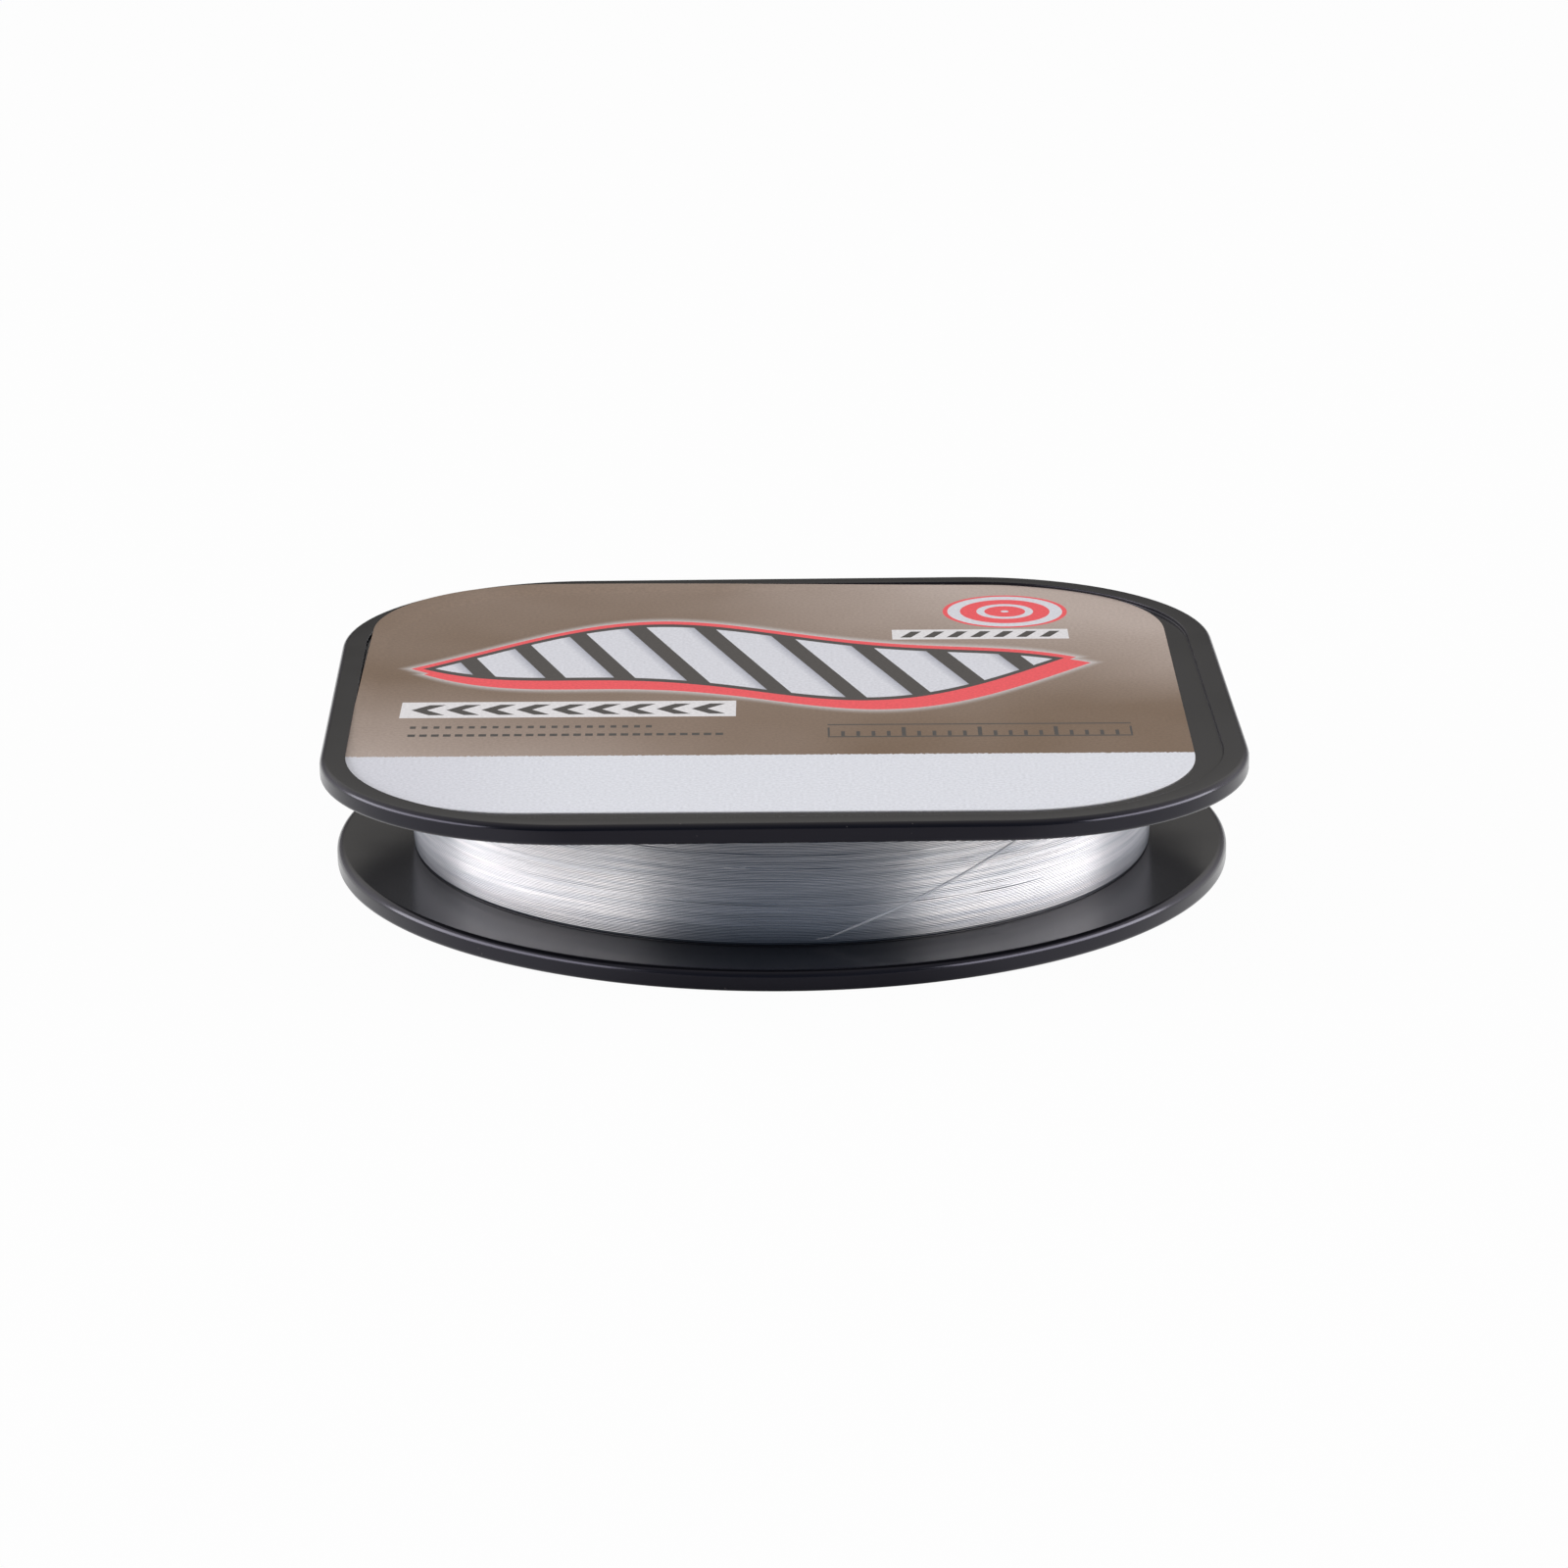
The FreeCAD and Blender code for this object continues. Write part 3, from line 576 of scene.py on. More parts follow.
def strandMesh(name, paths, w):
    # A mesh of round strands along paths of points in mm.
    curve = bpy.data.curves.new(name, "CURVE")
    curve.dimensions = "3D"
    curve.bevel_depth = w["strand"] / 2
    curve.bevel_resolution = w["bevelResolution"]
    curve.use_fill_caps = True
    for path in paths:
        spline = curve.splines.new("POLY")
        spline.points.add(len(path) - 1)
        for point, spot in zip(spline.points, path):
            point.co = (*spot, 1)
    holder = bpy.data.objects.new(name, curve)
    mesh = bpy.data.meshes.new_from_object(holder)
    bpy.data.objects.remove(holder)
    bpy.data.curves.remove(curve)
    bm = bmesh.new()
    bm.from_mesh(mesh)
    bpy.data.meshes.remove(mesh)
    bmesh.ops.remove_doubles(bm, verts=bm.verts[:], dist=mergeDistance)
    return meshFrom(bm, name, sharpFrom=50)


def makeTurns(w):
    # One helix from top to bottom that starts at the back, and the crossings over it.
    rng = random.Random(w["seed"])
    bottom = w["low"] + w["lowMargin"]
    top = w["high"] - w["highMargin"]
    helix = []
    for i in range(w["turns"] * w["stepsPerTurn"] + 1):
        turn = i / w["stepsPerTurn"]
        angle = 2 * math.pi * turn + math.pi / 2
        c, s = math.cos(angle), math.sin(angle)
        spread, perTurn = w["wanderNoise"]
        wander = noise.noise(Vector((c * spread, s * spread, turn * perTurn)))
        spread, perTurn = w["liftNoise"]
        lift = noise.noise(Vector((c * spread, s * spread, turn * perTurn + w["liftNoiseFrom"])))
        ends = min(turn, w["turns"] - turn, 1.0)
        level = top - (top - bottom) * turn / w["turns"] + wander * w["wander"] * ends
        radius = bedRadiusAt(w, level) + w["offset"] - w["sink"] + lift * w["lift"]
        helix.append((radius * c, radius * s, level))
    paths = [helix]
    for i in range(w["crossings"]):
        start = rng.uniform(0, 360)
        length = rng.uniform(*w["crossingLength"])
        slope = math.radians(rng.choice((-1, 1)) * rng.uniform(*w["crossingSlope"]))
        level = rng.uniform(bottom + w["crossingMargin"], top - w["crossingMargin"])
        count = int(length * w["crossingSteps"])
        path = []
        for k in range(count + 1):
            share = k / count
            angle = math.radians(start + length * share)
            z = level + math.tan(slope) * w["bedRadius"] * math.radians(length) * (share - 0.5)
            z = min(max(z, bottom), top)
            over = (smoothStep(0, w["crossingEnds"], share)
                    * smoothStep(0, w["crossingEnds"], 1 - share))
            radius = (bedRadiusAt(w, z) + w["offset"] - w["crossingSink"]
                      + over * w["crossingRise"])
            path.append((radius * math.cos(angle), radius * math.sin(angle), z))
        paths.append(path)
    return strandMesh("line_outer_turns", paths, w)


freeEnd = {
    "start": 3.2,           # mm above the underside, where it leaves the last turn
    "slope": 20.5,          # degrees
    "liftLength": 2.2,      # over which it leans up to that slope
    "sunkFor": 12.0,        # over which it comes out from between the turns
    "rise": 0.2,            # by this much
    "bend": 2.0,            # radius
    "upright": 17.6,
    "top": 18.9,            # in the slit under the square flange
    "slit": -40.2,          # degrees round from the right
    "step": 0.05,
}


def makeFreeEnd(w, f):
    # Climbs over the winding in front and turns up into the slit.
    step = f["step"]
    slope = math.radians(f["slope"])
    bendLevel = f["upright"] - f["bend"] * math.cos(slope)
    angle, level, lean, gone = 0.0, f["start"], 0.0, 0.0
    walked = []
    while lean < math.pi / 2:
        gone += step
        if level < bendLevel:
            lean = slope * min(gone / f["liftLength"], 1.0)
        else:
            lean = min(lean + step / f["bend"], math.pi / 2)
        level += step * math.sin(lean)
        over = smoothStep(0, f["sunkFor"], gone)
        radius = bedRadiusAt(w, level) + w["offset"] - w["sink"] + over * f["rise"]
        angle += step * math.cos(lean) / radius
        walked.append((angle, radius, level))
    walked.append((angle, radius, f["top"]))
    first = math.radians(f["slit"]) - angle
    path = [(r * math.cos(first + a), r * math.sin(first + a), z) for a, r, z in walked]
    return strandMesh("line_free_end", [path], w)


firstEnd = {
    "level": 5.0,
    "inside": 37.7,
    "outside": 39.55,
    "inWall": 0.1,          # where the straight stretch stops short of the barrel's inside
    "gap": 0.03,            # between the barrel's inside and the knot
    "knot": 1.4,            # across
    "knotSteps": 48,
    "knotSpread": 1.3,      # these three in the knot's own radius
    "knotLobes": 0.6,
    "knotDepth": 1.2,
}


def makeFirstEnd(w, f):
    # Goes in through the barrel's wall and is held by an overhand knot.
    knotRadius = (f["knot"] - w["strand"]) / 4
    centre = f["inside"] - f["knot"] / 2 - f["gap"]
    path = [(0, f["outside"], f["level"]), (0, f["inside"] + f["inWall"], f["level"])]
    for i in range(f["knotSteps"] + 1):
        turn = i / f["knotSteps"] * 2 * math.pi
        spread = knotRadius * (f["knotSpread"] + math.cos(3 * turn) * f["knotLobes"])
        path.append((spread * math.cos(2 * turn),
                     centre + knotRadius * f["knotDepth"] * math.sin(3 * turn),
                     f["level"] + spread * math.sin(2 * turn)))
    return strandMesh("line_first_end", [path], w)


addPiece("line_layers", makeLayers(winding), "base",
         ["line_bed"], [lineMaterial])
addPiece("line_outer_turns", makeTurns(winding), "base",
         ["outer_turns"], [lineMaterial])
addPiece("line_free_end", makeFreeEnd(winding, freeEnd), "base",
         ["line_tail"], [loneLineMaterial])
addPiece("line_first_end", makeFirstEnd(winding, firstEnd), "base",
         ["line_start"], [lineMaterial])
print("line wound")


# Paper label: lies in the recess and climbs over the border at its back left corner

label = {
    "side": 99.4,
    "corner": 22.0,
    "thickness": 0.12,
    "left": 1.45,
    "back": 1.65,
    "turn": -0.97,
    "panelTop": 19.5,
    "borderTop": 20.0,
    "panelSide": 102.5,
    "panelCorner": 27.0,
    "bridge": 3.0,          # how far the paper spans from the border down to the panel
    "bridgeEnd": 0.1,       # past the border's inner edge, where it lies on the border
    "climbFrom": 10.0,      # mm towards the back left corner, where the paper leaves the panel
    "climbTo": 52.0,
    "rings": 18,
    "ringWidth": 0.5,
    "cornerSteps": 36,
    "sideSteps": 60,
}


def outsideRoundedSquare(x, y, side, corner):
    across = [abs(c) - (side / 2 - corner) for c in (x, y)]
    return math.hypot(*(max(a, 0) for a in across)) + min(max(across), 0) - corner


def makeLabelMesh(p):
    bm = roundedSquare(p["side"], p["corner"], p["cornerSteps"])
    longEdges = [e for e in bm.edges if e.calc_length() > p["corner"]]
    bmesh.ops.subdivide_edges(bm, edges=longEdges, cuts=p["sideSteps"])
    middle = max(bm.faces, key=lambda f: f.calc_area())
    for ring in range(p["rings"]):
        bmesh.ops.inset_region(bm, faces=[middle], thickness=p["ringWidth"], use_even_offset=True,
                               use_boundary=True)
    bmesh.ops.triangulate(bm, faces=[middle], quad_method="BEAUTY", ngon_method="BEAUTY")
    raised = bmesh.ops.extrude_face_region(bm, geom=bm.faces[:])
    upper = [v for v in raised["geom"] if isinstance(v, bmesh.types.BMVert)]
    bmesh.ops.translate(bm, verts=upper, vec=(0, 0, p["thickness"]))
    bmesh.ops.rotate(bm, verts=bm.verts[:], cent=(0, 0, 0),
                     matrix=Matrix.Rotation(math.radians(p["turn"]), 3, "Z"))
    bmesh.ops.translate(bm, verts=bm.verts[:], vec=(-p["left"], p["back"], p["panelTop"]))
    for vert in bm.verts:
        past = outsideRoundedSquare(vert.co.x, vert.co.y, p["panelSide"], p["panelCorner"])
        towardsCorner = (vert.co.y - vert.co.x) / math.sqrt(2)
        climb = (smoothStep(-p["bridge"], p["bridgeEnd"], past)
                 * smoothStep(p["climbFrom"], p["climbTo"], towardsCorner))
        vert.co.z += (p["borderTop"] - p["panelTop"]) * climb
    bmesh.ops.recalc_face_normals(bm, faces=bm.faces[:])
    printed, bare = 0, 1    # the materials' order on the piece
    for face in bm.faces:
        face.material_index = printed if face.normal.z > 0.5 else bare
    return meshFrom(bm, "label_paper", sharpFrom=40)


# Coated label paper, offset printed: a smooth, slightly sheeny sheet. The ink shows as a fine grain
# on a taupe ground that drifts from light to dark, and the band in front is bare paper.

paper = {
    "edge": "#e9e7e2",
    "white": "#d2d4d8",
    "bandShade": "#c9cacf",
    "bandDrift": (-46.0, -20.0),    # mm across the label, over which the band gets whiter
    "bandEdge": -27.2,      # mm from the label's middle, where the bare band starts
    "bandGrain": 1.0,       # mm by which the grain frays that edge
    "taupeDark": "#6f5c4a",
    "taupeLight": "#aea096",
    "cloudScale": 0.035,    # per mm, so clouds of some 29 mm
    "cloudShare": 0.5,
    "driftFrom": (-300.0, 1500.0),  # mm2, across times along, from the label's middle
    "driftTo": (-0.17, 0.75),       # what that adds to the lightness
    "rise": 0.0025,         # lighter by this much for each mm towards the back
    "ink": "#4c4946",
    "red": "#e0575b",
    "silver": "#cccdd1",
    "silverShade": "#a3a5ad",
    "glow": "#d5d3d2",
    "glowStrength": 0.95,
    "glowWidth": 3.6,       # mm, like the next three
    "inkEdge": 1.3,
    "redEdge": 1.4,
    "redShift": (-1.7, 2.6),
    "grainSize": 0.4,       # mm, drawn coarser than the real screen so that it shows
    "grainDepth": 0.09,
    "roughness": 0.5,
    "specular": 0.15,       # a thin coat, so that it doesn't glare at a grazing view
    "fibreSize": 0.4,       # mm, drawn coarser than real fibres so that they show
    "edgeRoughness": 0.8,
}

# One broad wave, cut into leaning blocks. The prints' sizes and places are in mm on the label.
wave = {
    "place": (-3.0, 13.0),
    "halfLength": 38.0,
    "depth": 12.5,
    "fullness": 2.6,        # a larger one keeps its depth further out
    "swing": -4.2,
    "length": 58.0,
    "tilt": -0.05,
    "pitch": 8.4,
    "gap": 2.5,
    "lean": -0.32,
    "shade": 1.5,
}

ripple = {
    "place": (30.0, 36.5),
    "radius": 6.2,
    "spacing": 3.1,
    "line": 1.0,
    "silverRim": 1.1,
    "redRim": 0.6,
}

# Rows of bars: their middle, how far they reach each way, how far apart and how wide they are, how
# they lean, whether they fold into chevrons, and how far a pale ground shows round them.
plainRow = {"lean": 0.0, "fold": False, "pale": 0}
chevrons = {"lean": -1.0, "fold": True, "pale": 1.2}
slanted = {"lean": -0.5, "fold": False, "pale": 0.9}
rows = [
    dict(chevrons, place=(-24.0, -7.5), half=(18.9, 2.2), pitch=4.2, bar=1.9),
    dict(plainRow, place=(25.0, -18.6), half=(18.0, 1.0), pitch=1.8, bar=0.45),
    dict(plainRow, place=(25.0, -17.8), half=(18.0, 1.8), pitch=9.0, bar=0.5),
    dict(plainRow, place=(25.0, -19.9), half=(18.0, 0.22), pitch=1.0, bar=1.2),
    dict(plainRow, place=(25.0, -14.8), half=(18.0, 0.22), pitch=1.0, bar=1.2),
    dict(plainRow, place=(-28.2, -15.0), half=(14.7, 0.5), pitch=1.4, bar=0.7),
    dict(plainRow, place=(-24.0, -18.4), half=(18.9, 0.5), pitch=1.4, bar=0.9),
    dict(slanted, place=(26.5, 25.6), half=(10.15, 1.4), pitch=2.9, bar=1.3),
]


def waveDistance(tree, x, y, w):
    # Distance in mm from the printed wave's outline, negative inside.
    angle = addNode(tree, "Math", {"operation": "MULTIPLY"}, {0: x, 1: 2 * math.pi / w["length"]})
    swing = addNode(tree, "Math", {"operation": "SINE"}, {0: angle})
    middle = addNode(tree, "Math", {"operation": "MULTIPLY_ADD"}, {
        0: swing, 1: w["swing"], 2: w["place"][1]})
    tilted = addNode(tree, "Math", {"operation": "MULTIPLY_ADD"}, {0: x, 1: w["tilt"], 2: middle})
    aside = addNode(tree, "Math", {"operation": "SUBTRACT"}, {0: y, 1: tilted})
    away = addNode(tree, "Math", {"operation": "ABSOLUTE"}, {0: aside})
    share = addNode(tree, "Math", {"operation": "MULTIPLY_ADD"}, {
        0: x, 1: 1 / w["halfLength"], 2: -w["place"][0] / w["halfLength"]})
    outwards = addNode(tree, "Math", {"operation": "ABSOLUTE"}, {0: share})
    narrower = addNode(tree, "Math", {"operation": "POWER"}, {0: outwards, 1: w["fullness"]})
    taper = addNode(tree, "Math", {"operation": "MULTIPLY_ADD"}, {
        0: narrower, 1: w["depth"], 2: -w["depth"]})
    return addNode(tree, "Math", {"operation": "ADD"}, {0: away, 1: taper})


def rowShare(tree, place, row, wider):
    # 1 on the bars of a printed row, 0 beside them; wider makes each bar larger all round.
    local = addNode(tree, "VectorMath", {"operation": "SUBTRACT"}, {
        0: place, 1: (*row["place"], 0)})
    spots = addNode(tree, "SeparateXYZ", None, {0: local})
    x, y = spots.outputs["X"], spots.outputs["Y"]
    away = addNode(tree, "Math", {"operation": "ABSOLUTE"}, {0: y})
    folded = addNode(tree, "Math", {"operation": "SUBTRACT"}, {0: away, 1: row["half"][1] / 2})
    leaned = addNode(tree, "Math", {"operation": "MULTIPLY_ADD"}, {
        0: folded if row["fold"] else y, 1: row["lean"], 2: x})
    beat = addNode(tree, "Math", {"operation": "PINGPONG"}, {0: leaned, 1: row["pitch"] / 2})
    onBar = addNode(tree, "Math", {"operation": "LESS_THAN"}, {
        0: beat, 1: row["bar"] / 2 + wider})
    inHeight = addNode(tree, "Math", {"operation": "LESS_THAN"}, {
        0: away, 1: row["half"][1] + wider})
    inLength = addNode(tree, "Math", {"operation": "COMPARE"}, {
        0: x, 1: 0.0, 2: row["half"][0] + wider})
    both = addNode(tree, "Math", {"operation": "MULTIPLY"}, {0: onBar, 1: inHeight})
    return addNode(tree, "Math", {"operation": "MULTIPLY"}, {0: both, 1: inLength})


def makePrintedPaper(p, sheet):
    material, tree = newMaterial("printed_coated_paper")
    place = addNode(tree, "Mapping", {"vector_type": "TEXTURE"}, {
        "Vector": addNode(tree, "TexCoord").outputs["Object"],
        "Location": (-sheet["left"] * mm, sheet["back"] * mm, 0),
        "Rotation": (0, 0, math.radians(sheet["turn"])), "Scale": (mm, mm, mm)})
    spots = addNode(tree, "SeparateXYZ", None, {0: place})
    x, y = spots.outputs["X"], spots.outputs["Y"]
    grain = addNode(tree, "TexNoise", None, {
        "Vector": place, "Scale": 1 / p["grainSize"], "Detail": 2.0})

    # ground: lighter towards the front left, the back and the back right, with soft clouds
    product = addNode(tree, "Math", {"operation": "MULTIPLY"}, {0: x, 1: y})
    clouds = addNode(tree, "TexNoise", None, {
        "Vector": place, "Scale": p["cloudScale"], "Detail": 2.0})
    drift = addNode(tree, "MapRange", None, {
        "Value": product, "From Min": p["driftFrom"][0], "From Max": p["driftFrom"][1],
        "To Min": p["driftTo"][0], "To Max": p["driftTo"][1]})
    rise = addNode(tree, "Math", {"operation": "MULTIPLY_ADD"}, {0: y, 1: p["rise"], 2: drift})
    lightness = addNode(tree, "Math", {"operation": "MULTIPLY_ADD", "use_clamp": True}, {
        0: clouds, 1: p["cloudShare"], 2: rise})
    ground = addNode(tree, "Mix", {"data_type": "RGBA"}, {
        "Factor": lightness, "A": linear(p["taupeDark"]), "B": linear(p["taupeLight"])})

    # wave: soft glow, shifted red edge, dark edge and gaps, silver blocks shaded on one side
    distance = waveDistance(tree, x, y, wave)
    redX, redY = (addNode(tree, "Math", {"operation": "ADD"}, {0: axis, 1: shift})
                  for axis, shift in zip((x, y), p["redShift"]))
    shifted = waveDistance(tree, redX, redY, wave)
    around = addNode(tree, "Math", {"operation": "MINIMUM"}, {0: distance, 1: shifted})
    glow = addNode(tree, "MapRange", {"interpolation_type": "SMOOTHSTEP"}, {
        "Value": around, "From Min": p["inkEdge"], "From Max": p["inkEdge"] + p["glowWidth"],
        "To Min": p["glowStrength"], "To Max": 0.0})
    inRed = addNode(tree, "Math", {"operation": "LESS_THAN"}, {
        0: around, 1: p["redEdge"] + p["inkEdge"]})
    inInk = addNode(tree, "Math", {"operation": "LESS_THAN"}, {0: distance, 1: p["inkEdge"]})
    leaned = addNode(tree, "Math", {"operation": "MULTIPLY_ADD"}, {0: y, 1: -wave["lean"], 2: x})
    beat = addNode(tree, "Math", {"operation": "WRAP"}, {0: leaned, 1: wave["pitch"], 2: 0.0})
    past = addNode(tree, "Math", {"operation": "GREATER_THAN"}, {0: beat, 1: wave["gap"]})
    inside = addNode(tree, "Math", {"operation": "LESS_THAN"}, {0: distance, 1: 0.0})
    inBlock = addNode(tree, "Math", {"operation": "MULTIPLY"}, {0: inside, 1: past})
    shade = addNode(tree, "MapRange", None, {
        "Value": beat, "From Min": wave["pitch"] - wave["shade"], "From Max": wave["pitch"]})
    blockTone = addNode(tree, "Mix", {"data_type": "RGBA"}, {
        "Factor": shade, "A": linear(p["silver"]), "B": linear(p["silverShade"])})
    layers = [(glow, linear(p["glow"])), (inRed, linear(p["red"])), (inInk, linear(p["ink"])),
              (inBlock, blockTone)]

    # roundel of ripples
    flat = addNode(tree, "VectorMath", {"operation": "MULTIPLY"}, {0: place, 1: (1, 1, 0)})
    radius = addNode(tree, "VectorMath", {"operation": "DISTANCE"}, {
        0: flat, 1: (*ripple["place"], 0)})
    reach = ripple["radius"]
    for wider, ink in ((ripple["silverRim"] + ripple["redRim"], "red"),
                       (ripple["silverRim"], "silver"), (0.0, "red")):
        within = addNode(tree, "Math", {"operation": "LESS_THAN"}, {0: radius, 1: reach + wider})
        layers.append((within, linear(p[ink])))
    swell = addNode(tree, "Math", {"operation": "PINGPONG"}, {
        0: radius, 1: ripple["spacing"] / 2})
    onLine = addNode(tree, "Math", {"operation": "LESS_THAN"}, {0: swell, 1: ripple["line"] / 2})
    inDisc = addNode(tree, "Math", {"operation": "LESS_THAN"}, {0: radius, 1: reach})
    onRing = addNode(tree, "Math", {"operation": "MULTIPLY"}, {0: onLine, 1: inDisc})
    layers.append((onRing, linear(p["silver"])))

    # rows of bars, those on a pale ground over it
    for row in rows:
        if row["pale"]:
            layers.append((rowShare(tree, place, row, row["pale"]), linear(p["glow"])))
        layers.append((rowShare(tree, place, row, 0.0), linear(p["ink"])))

    # bare band in front, a little greyer to the left, its edge frayed by the grain
    bandDrift = addNode(tree, "MapRange", {"interpolation_type": "SMOOTHSTEP"}, {
        "Value": x, "From Min": p["bandDrift"][0], "From Max": p["bandDrift"][1]})
    band = addNode(tree, "Mix", {"data_type": "RGBA"}, {
        "Factor": bandDrift, "A": linear(p["bandShade"]), "B": linear(p["white"])})
    frayed = addNode(tree, "Math", {"operation": "MULTIPLY_ADD"}, {
        0: grain, 1: p["bandGrain"], 2: y})
    inBand = addNode(tree, "Math", {"operation": "LESS_THAN"}, {
        0: frayed, 1: p["bandEdge"] + p["bandGrain"] / 2})
    layers.append((inBand, band))

    colour = ground
    for share, ink in layers:
        colour = addNode(tree, "Mix", {"data_type": "RGBA"}, {
            "Factor": share, "A": colour, "B": ink})
    grained = addNode(tree, "MapRange", None, {
        "Value": grain, "From Min": noiseLow, "From Max": noiseHigh,
        "To Min": 1 - p["grainDepth"], "To Max": 1 + p["grainDepth"]})
    shaded = addNode(tree, "HueSaturation", None, {"Color": colour, "Value": grained})
    surface = addNode(tree, "BsdfPrincipled", None, {
        "Base Color": shaded, "Roughness": p["roughness"], "Specular IOR Level": p["specular"]})
    addNode(tree, "OutputMaterial", None, {"Surface": surface})
    return material


def makePaperEdge(p):
    # The cut edge and the back of the sheet: uncoated, matt white fibre.
    material, tree = newMaterial("cut_paper_edge")
    place = addNode(tree, "TexCoord").outputs["Object"]
    fibre = addNode(tree, "TexNoise", None, {
        "Vector": place, "Scale": 1 / (p["fibreSize"] * mm), "Detail": 2.0})
    colour = addNode(tree, "Mix", {"data_type": "RGBA"}, {
        "Factor": fibre, "A": linear(p["edge"]), "B": linear(p["bandShade"])})
    surface = addNode(tree, "BsdfPrincipled", None, {
        "Base Color": colour, "Roughness": p["edgeRoughness"], "Specular IOR Level": p["specular"]})
    addNode(tree, "OutputMaterial", None, {"Surface": surface})
    return material


addPiece("label_paper", makeLabelMesh(label), "face", ["front_label"],
         [makePrintedPaper(paper, label), makePaperEdge(paper)])
print("label laid")


# Floor, world and lamps

studio = {
    "floorSize": 6.0,           # m
    "floorLevel": -0.0001,      # m, just clear of the underside
    "floorColour": "#b4b4b4",
    "seenWhite": 1.0,
    "seenShare": 0.97,          # the rest is lit paper, which keeps the object's shadow
    "mirroredWhite": 0.95,      # the same share for the floor that the gloss mirrors, at the sides
    "darkTo": 10.0,             # degrees either side of the front, where the camera's shade ends
    "whiteFrom": 36.0,
    "frontColour": "#5b6577",   # the room behind the camera
    "frontFade": (-0.95, 0.2),  # how far back a direction points, from that room to the sweep
    "sweepLow": "#42403c",      # the sweep behind the object, which gets lighter as it rises
    "sweepHigh": "#c6c4be",
    "sweepRise": (15.0, 18.5),  # degrees above the floor, over which it does
    "sideColour": "#ece9f0",    # the tent's two sides
    "sideLevel": 1.8,
    "sideFall": 1.6,            # a larger one makes them narrower
}

# Places and sizes in m.
lamps = {
    "overhead": {"place": (0.0, 0.1, 1.0), "size": (1.0, 1.0), "watts": 0.5, "mirrored": False},
    "left": {"place": (-0.78, -0.16, 0.22), "size": (1.2, 0.36), "watts": 7.8, "mirrored": True},
    "right": {"place": (0.78, -0.22, 0.22), "size": (1.1, 0.36), "watts": 8.2, "mirrored": True},
}
lampColour = "#fcfcff"


def makeFloor(s):
    bm = bmesh.new()
    bmesh.ops.create_grid(bm, x_segments=1, y_segments=1, size=s["floorSize"] / 2)
    bmesh.ops.translate(bm, verts=bm.verts[:], vec=(0, 0, s["floorLevel"]))
    floor = bpy.data.objects.new("floor", meshFrom(bm, "floor"))
    bpy.context.scene.collection.objects.link(floor)
    material, tree = newMaterial("white_paper_floor")
    ray = addNode(tree, "LightPath")
    seen = addNode(tree, "Math", {"operation": "MAXIMUM"}, {
        0: ray.outputs["Is Camera Ray"], 1: ray.outputs["Is Transmission Ray"]})
    place = addNode(tree, "SeparateXYZ", None, {0: addNode(tree, "TexCoord").outputs["Object"]})
    aside = addNode(tree, "Math", {"operation": "ABSOLUTE"}, {0: place.outputs["X"]})
    ahead = addNode(tree, "Math", {"operation": "MULTIPLY"}, {0: place.outputs["Y"], 1: -1.0})
    bearing = addNode(tree, "Math", {"operation": "ARCTAN2"}, {0: aside, 1: ahead})
    sides = addNode(tree, "MapRange", {"interpolation_type": "SMOOTHSTEP"}, {
        "Value": bearing, "From Min": math.radians(s["darkTo"]),
        "From Max": math.radians(s["whiteFrom"]), "To Min": 0.0, "To Max": s["mirroredWhite"]})
    mirrored = addNode(tree, "Math", {"operation": "MULTIPLY"}, {
        0: ray.outputs["Is Glossy Ray"], 1: sides})
    whiteShare = addNode(tree, "Math", {"operation": "MULTIPLY_ADD"}, {
        0: seen, 1: s["seenShare"], 2: mirrored})
    lit = addNode(tree, "BsdfDiffuse", None, {"Color": linear(s["floorColour"])})
    white = addNode(tree, "Emission", None, {
        "Color": linear("#ffffff"), "Strength": s["seenWhite"]})
    mixed = addNode(tree, "MixShader", None, {"Fac": whiteShare, 1: lit, 2: white})
    fromBelow = addNode(tree, "NewGeometry").outputs["Backfacing"]
    clear = addNode(tree, "BsdfTransparent")
    oneSided = addNode(tree, "MixShader", None, {"Fac": fromBelow, 1: mixed, 2: clear})
    addNode(tree, "OutputMaterial", None, {"Surface": oneSided})
    floor.data.materials.append(material)


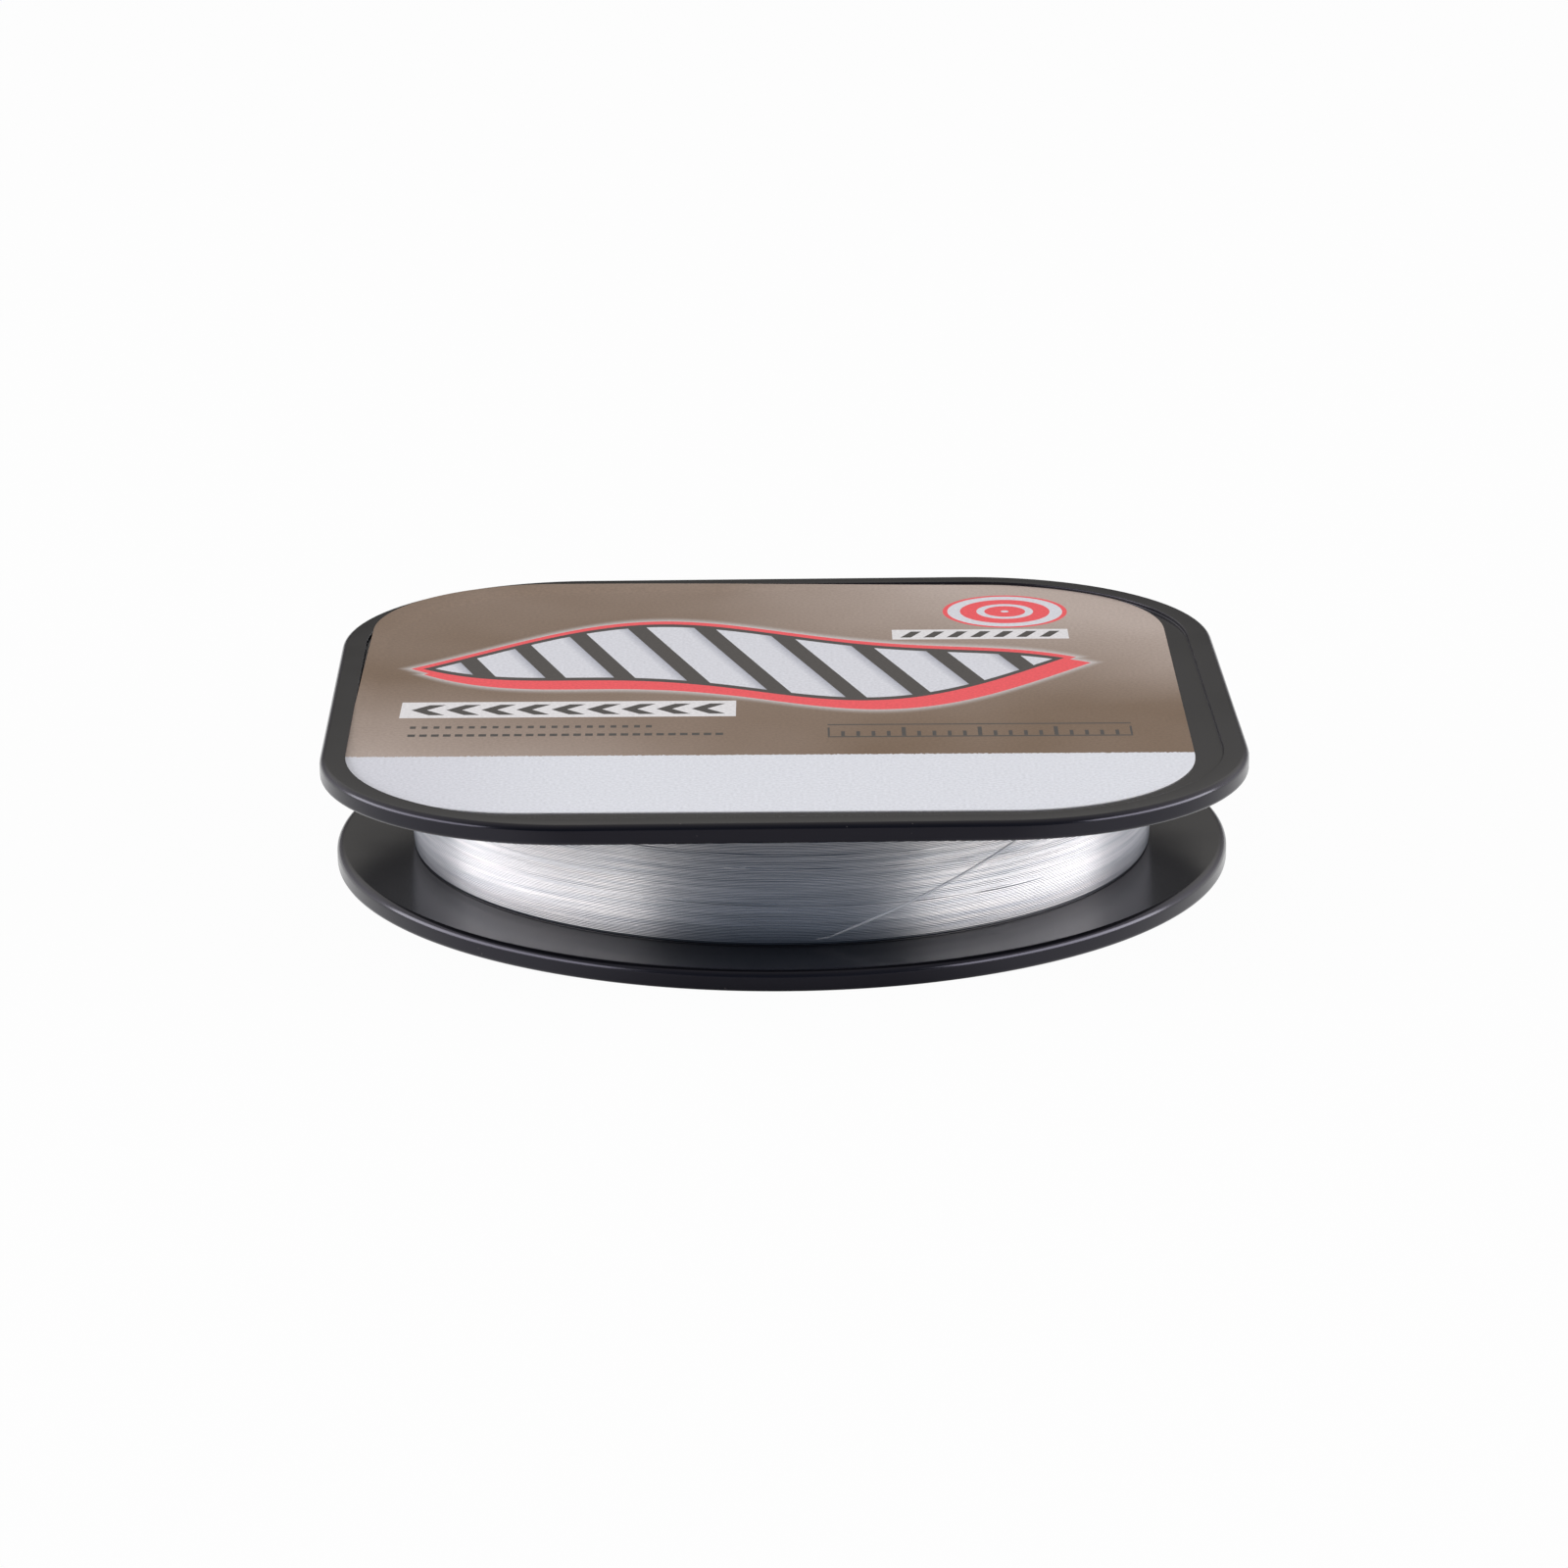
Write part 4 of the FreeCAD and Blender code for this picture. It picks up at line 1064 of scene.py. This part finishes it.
def makeWorld(s):
    world = bpy.data.worlds.new("studio")
    bpy.context.scene.world = world
    world.use_nodes = True
    tree = world.node_tree
    tree.nodes.clear()
    ray = addNode(tree, "LightPath")
    direction = addNode(tree, "TexCoord").outputs["Generated"]
    towards = addNode(tree, "SeparateXYZ", None, {0: direction})
    behind = addNode(tree, "MapRange", {"interpolation_type": "SMOOTHSTEP"}, {
        "Value": towards.outputs["Y"], "From Min": s["frontFade"][0], "From Max": s["frontFade"][1]})
    aside = addNode(tree, "Math", {"operation": "ABSOLUTE"}, {0: towards.outputs["X"]})
    wall = addNode(tree, "Math", {"operation": "POWER"}, {0: aside, 1: s["sideFall"]})
    atSide = addNode(tree, "Math", {"operation": "MULTIPLY"}, {0: behind, 1: wall})
    startsAt, endsAt = (math.sin(math.radians(angle)) for angle in s["sweepRise"])
    high = addNode(tree, "MapRange", {"interpolation_type": "SMOOTHSTEP"}, {
        "Value": towards.outputs["Z"], "From Min": startsAt, "From Max": endsAt})
    sweep = addNode(tree, "Mix", {"data_type": "RGBA"}, {
        "Factor": high, "A": linear(s["sweepLow"]), "B": linear(s["sweepHigh"])})
    colour = addNode(tree, "Mix", {"data_type": "RGBA"}, {
        "Factor": behind, "A": linear(s["frontColour"]), "B": sweep})
    walls = [c * s["sideLevel"] for c in linear(s["sideColour"])]
    for share, shade in ((atSide, walls), (ray.outputs["Is Camera Ray"], linear("#ffffff"))):
        colour = addNode(tree, "Mix", {"data_type": "RGBA"}, {
            "Factor": share, "A": colour, "B": shade})
    sky = addNode(tree, "Background", None, {"Color": colour, "Strength": 1.0})
    addNode(tree, "OutputWorld", None, {"Surface": sky})


def addLamp(name, spec):
    data = bpy.data.lights.new(name, "AREA")
    data.shape = "RECTANGLE"
    data.size, data.size_y = spec["size"]
    data.energy = spec["watts"]
    data.color = linear(lampColour)[:3]
    lamp = bpy.data.objects.new(name, data)
    bpy.context.scene.collection.objects.link(lamp)
    lamp.location = spec["place"]
    lamp.visible_glossy = spec["mirrored"]
    lamp.rotation_mode = "QUATERNION"
    lamp.rotation_quaternion = (-Vector(spec["place"])).to_track_quat("-Z", "Y")


makeFloor(studio)
makeWorld(studio)
for lampName, lampSpec in lamps.items():
    addLamp(lampName, lampSpec)
bpy.context.scene.view_settings.view_transform = "Standard"
print("floor, world and lamps set")
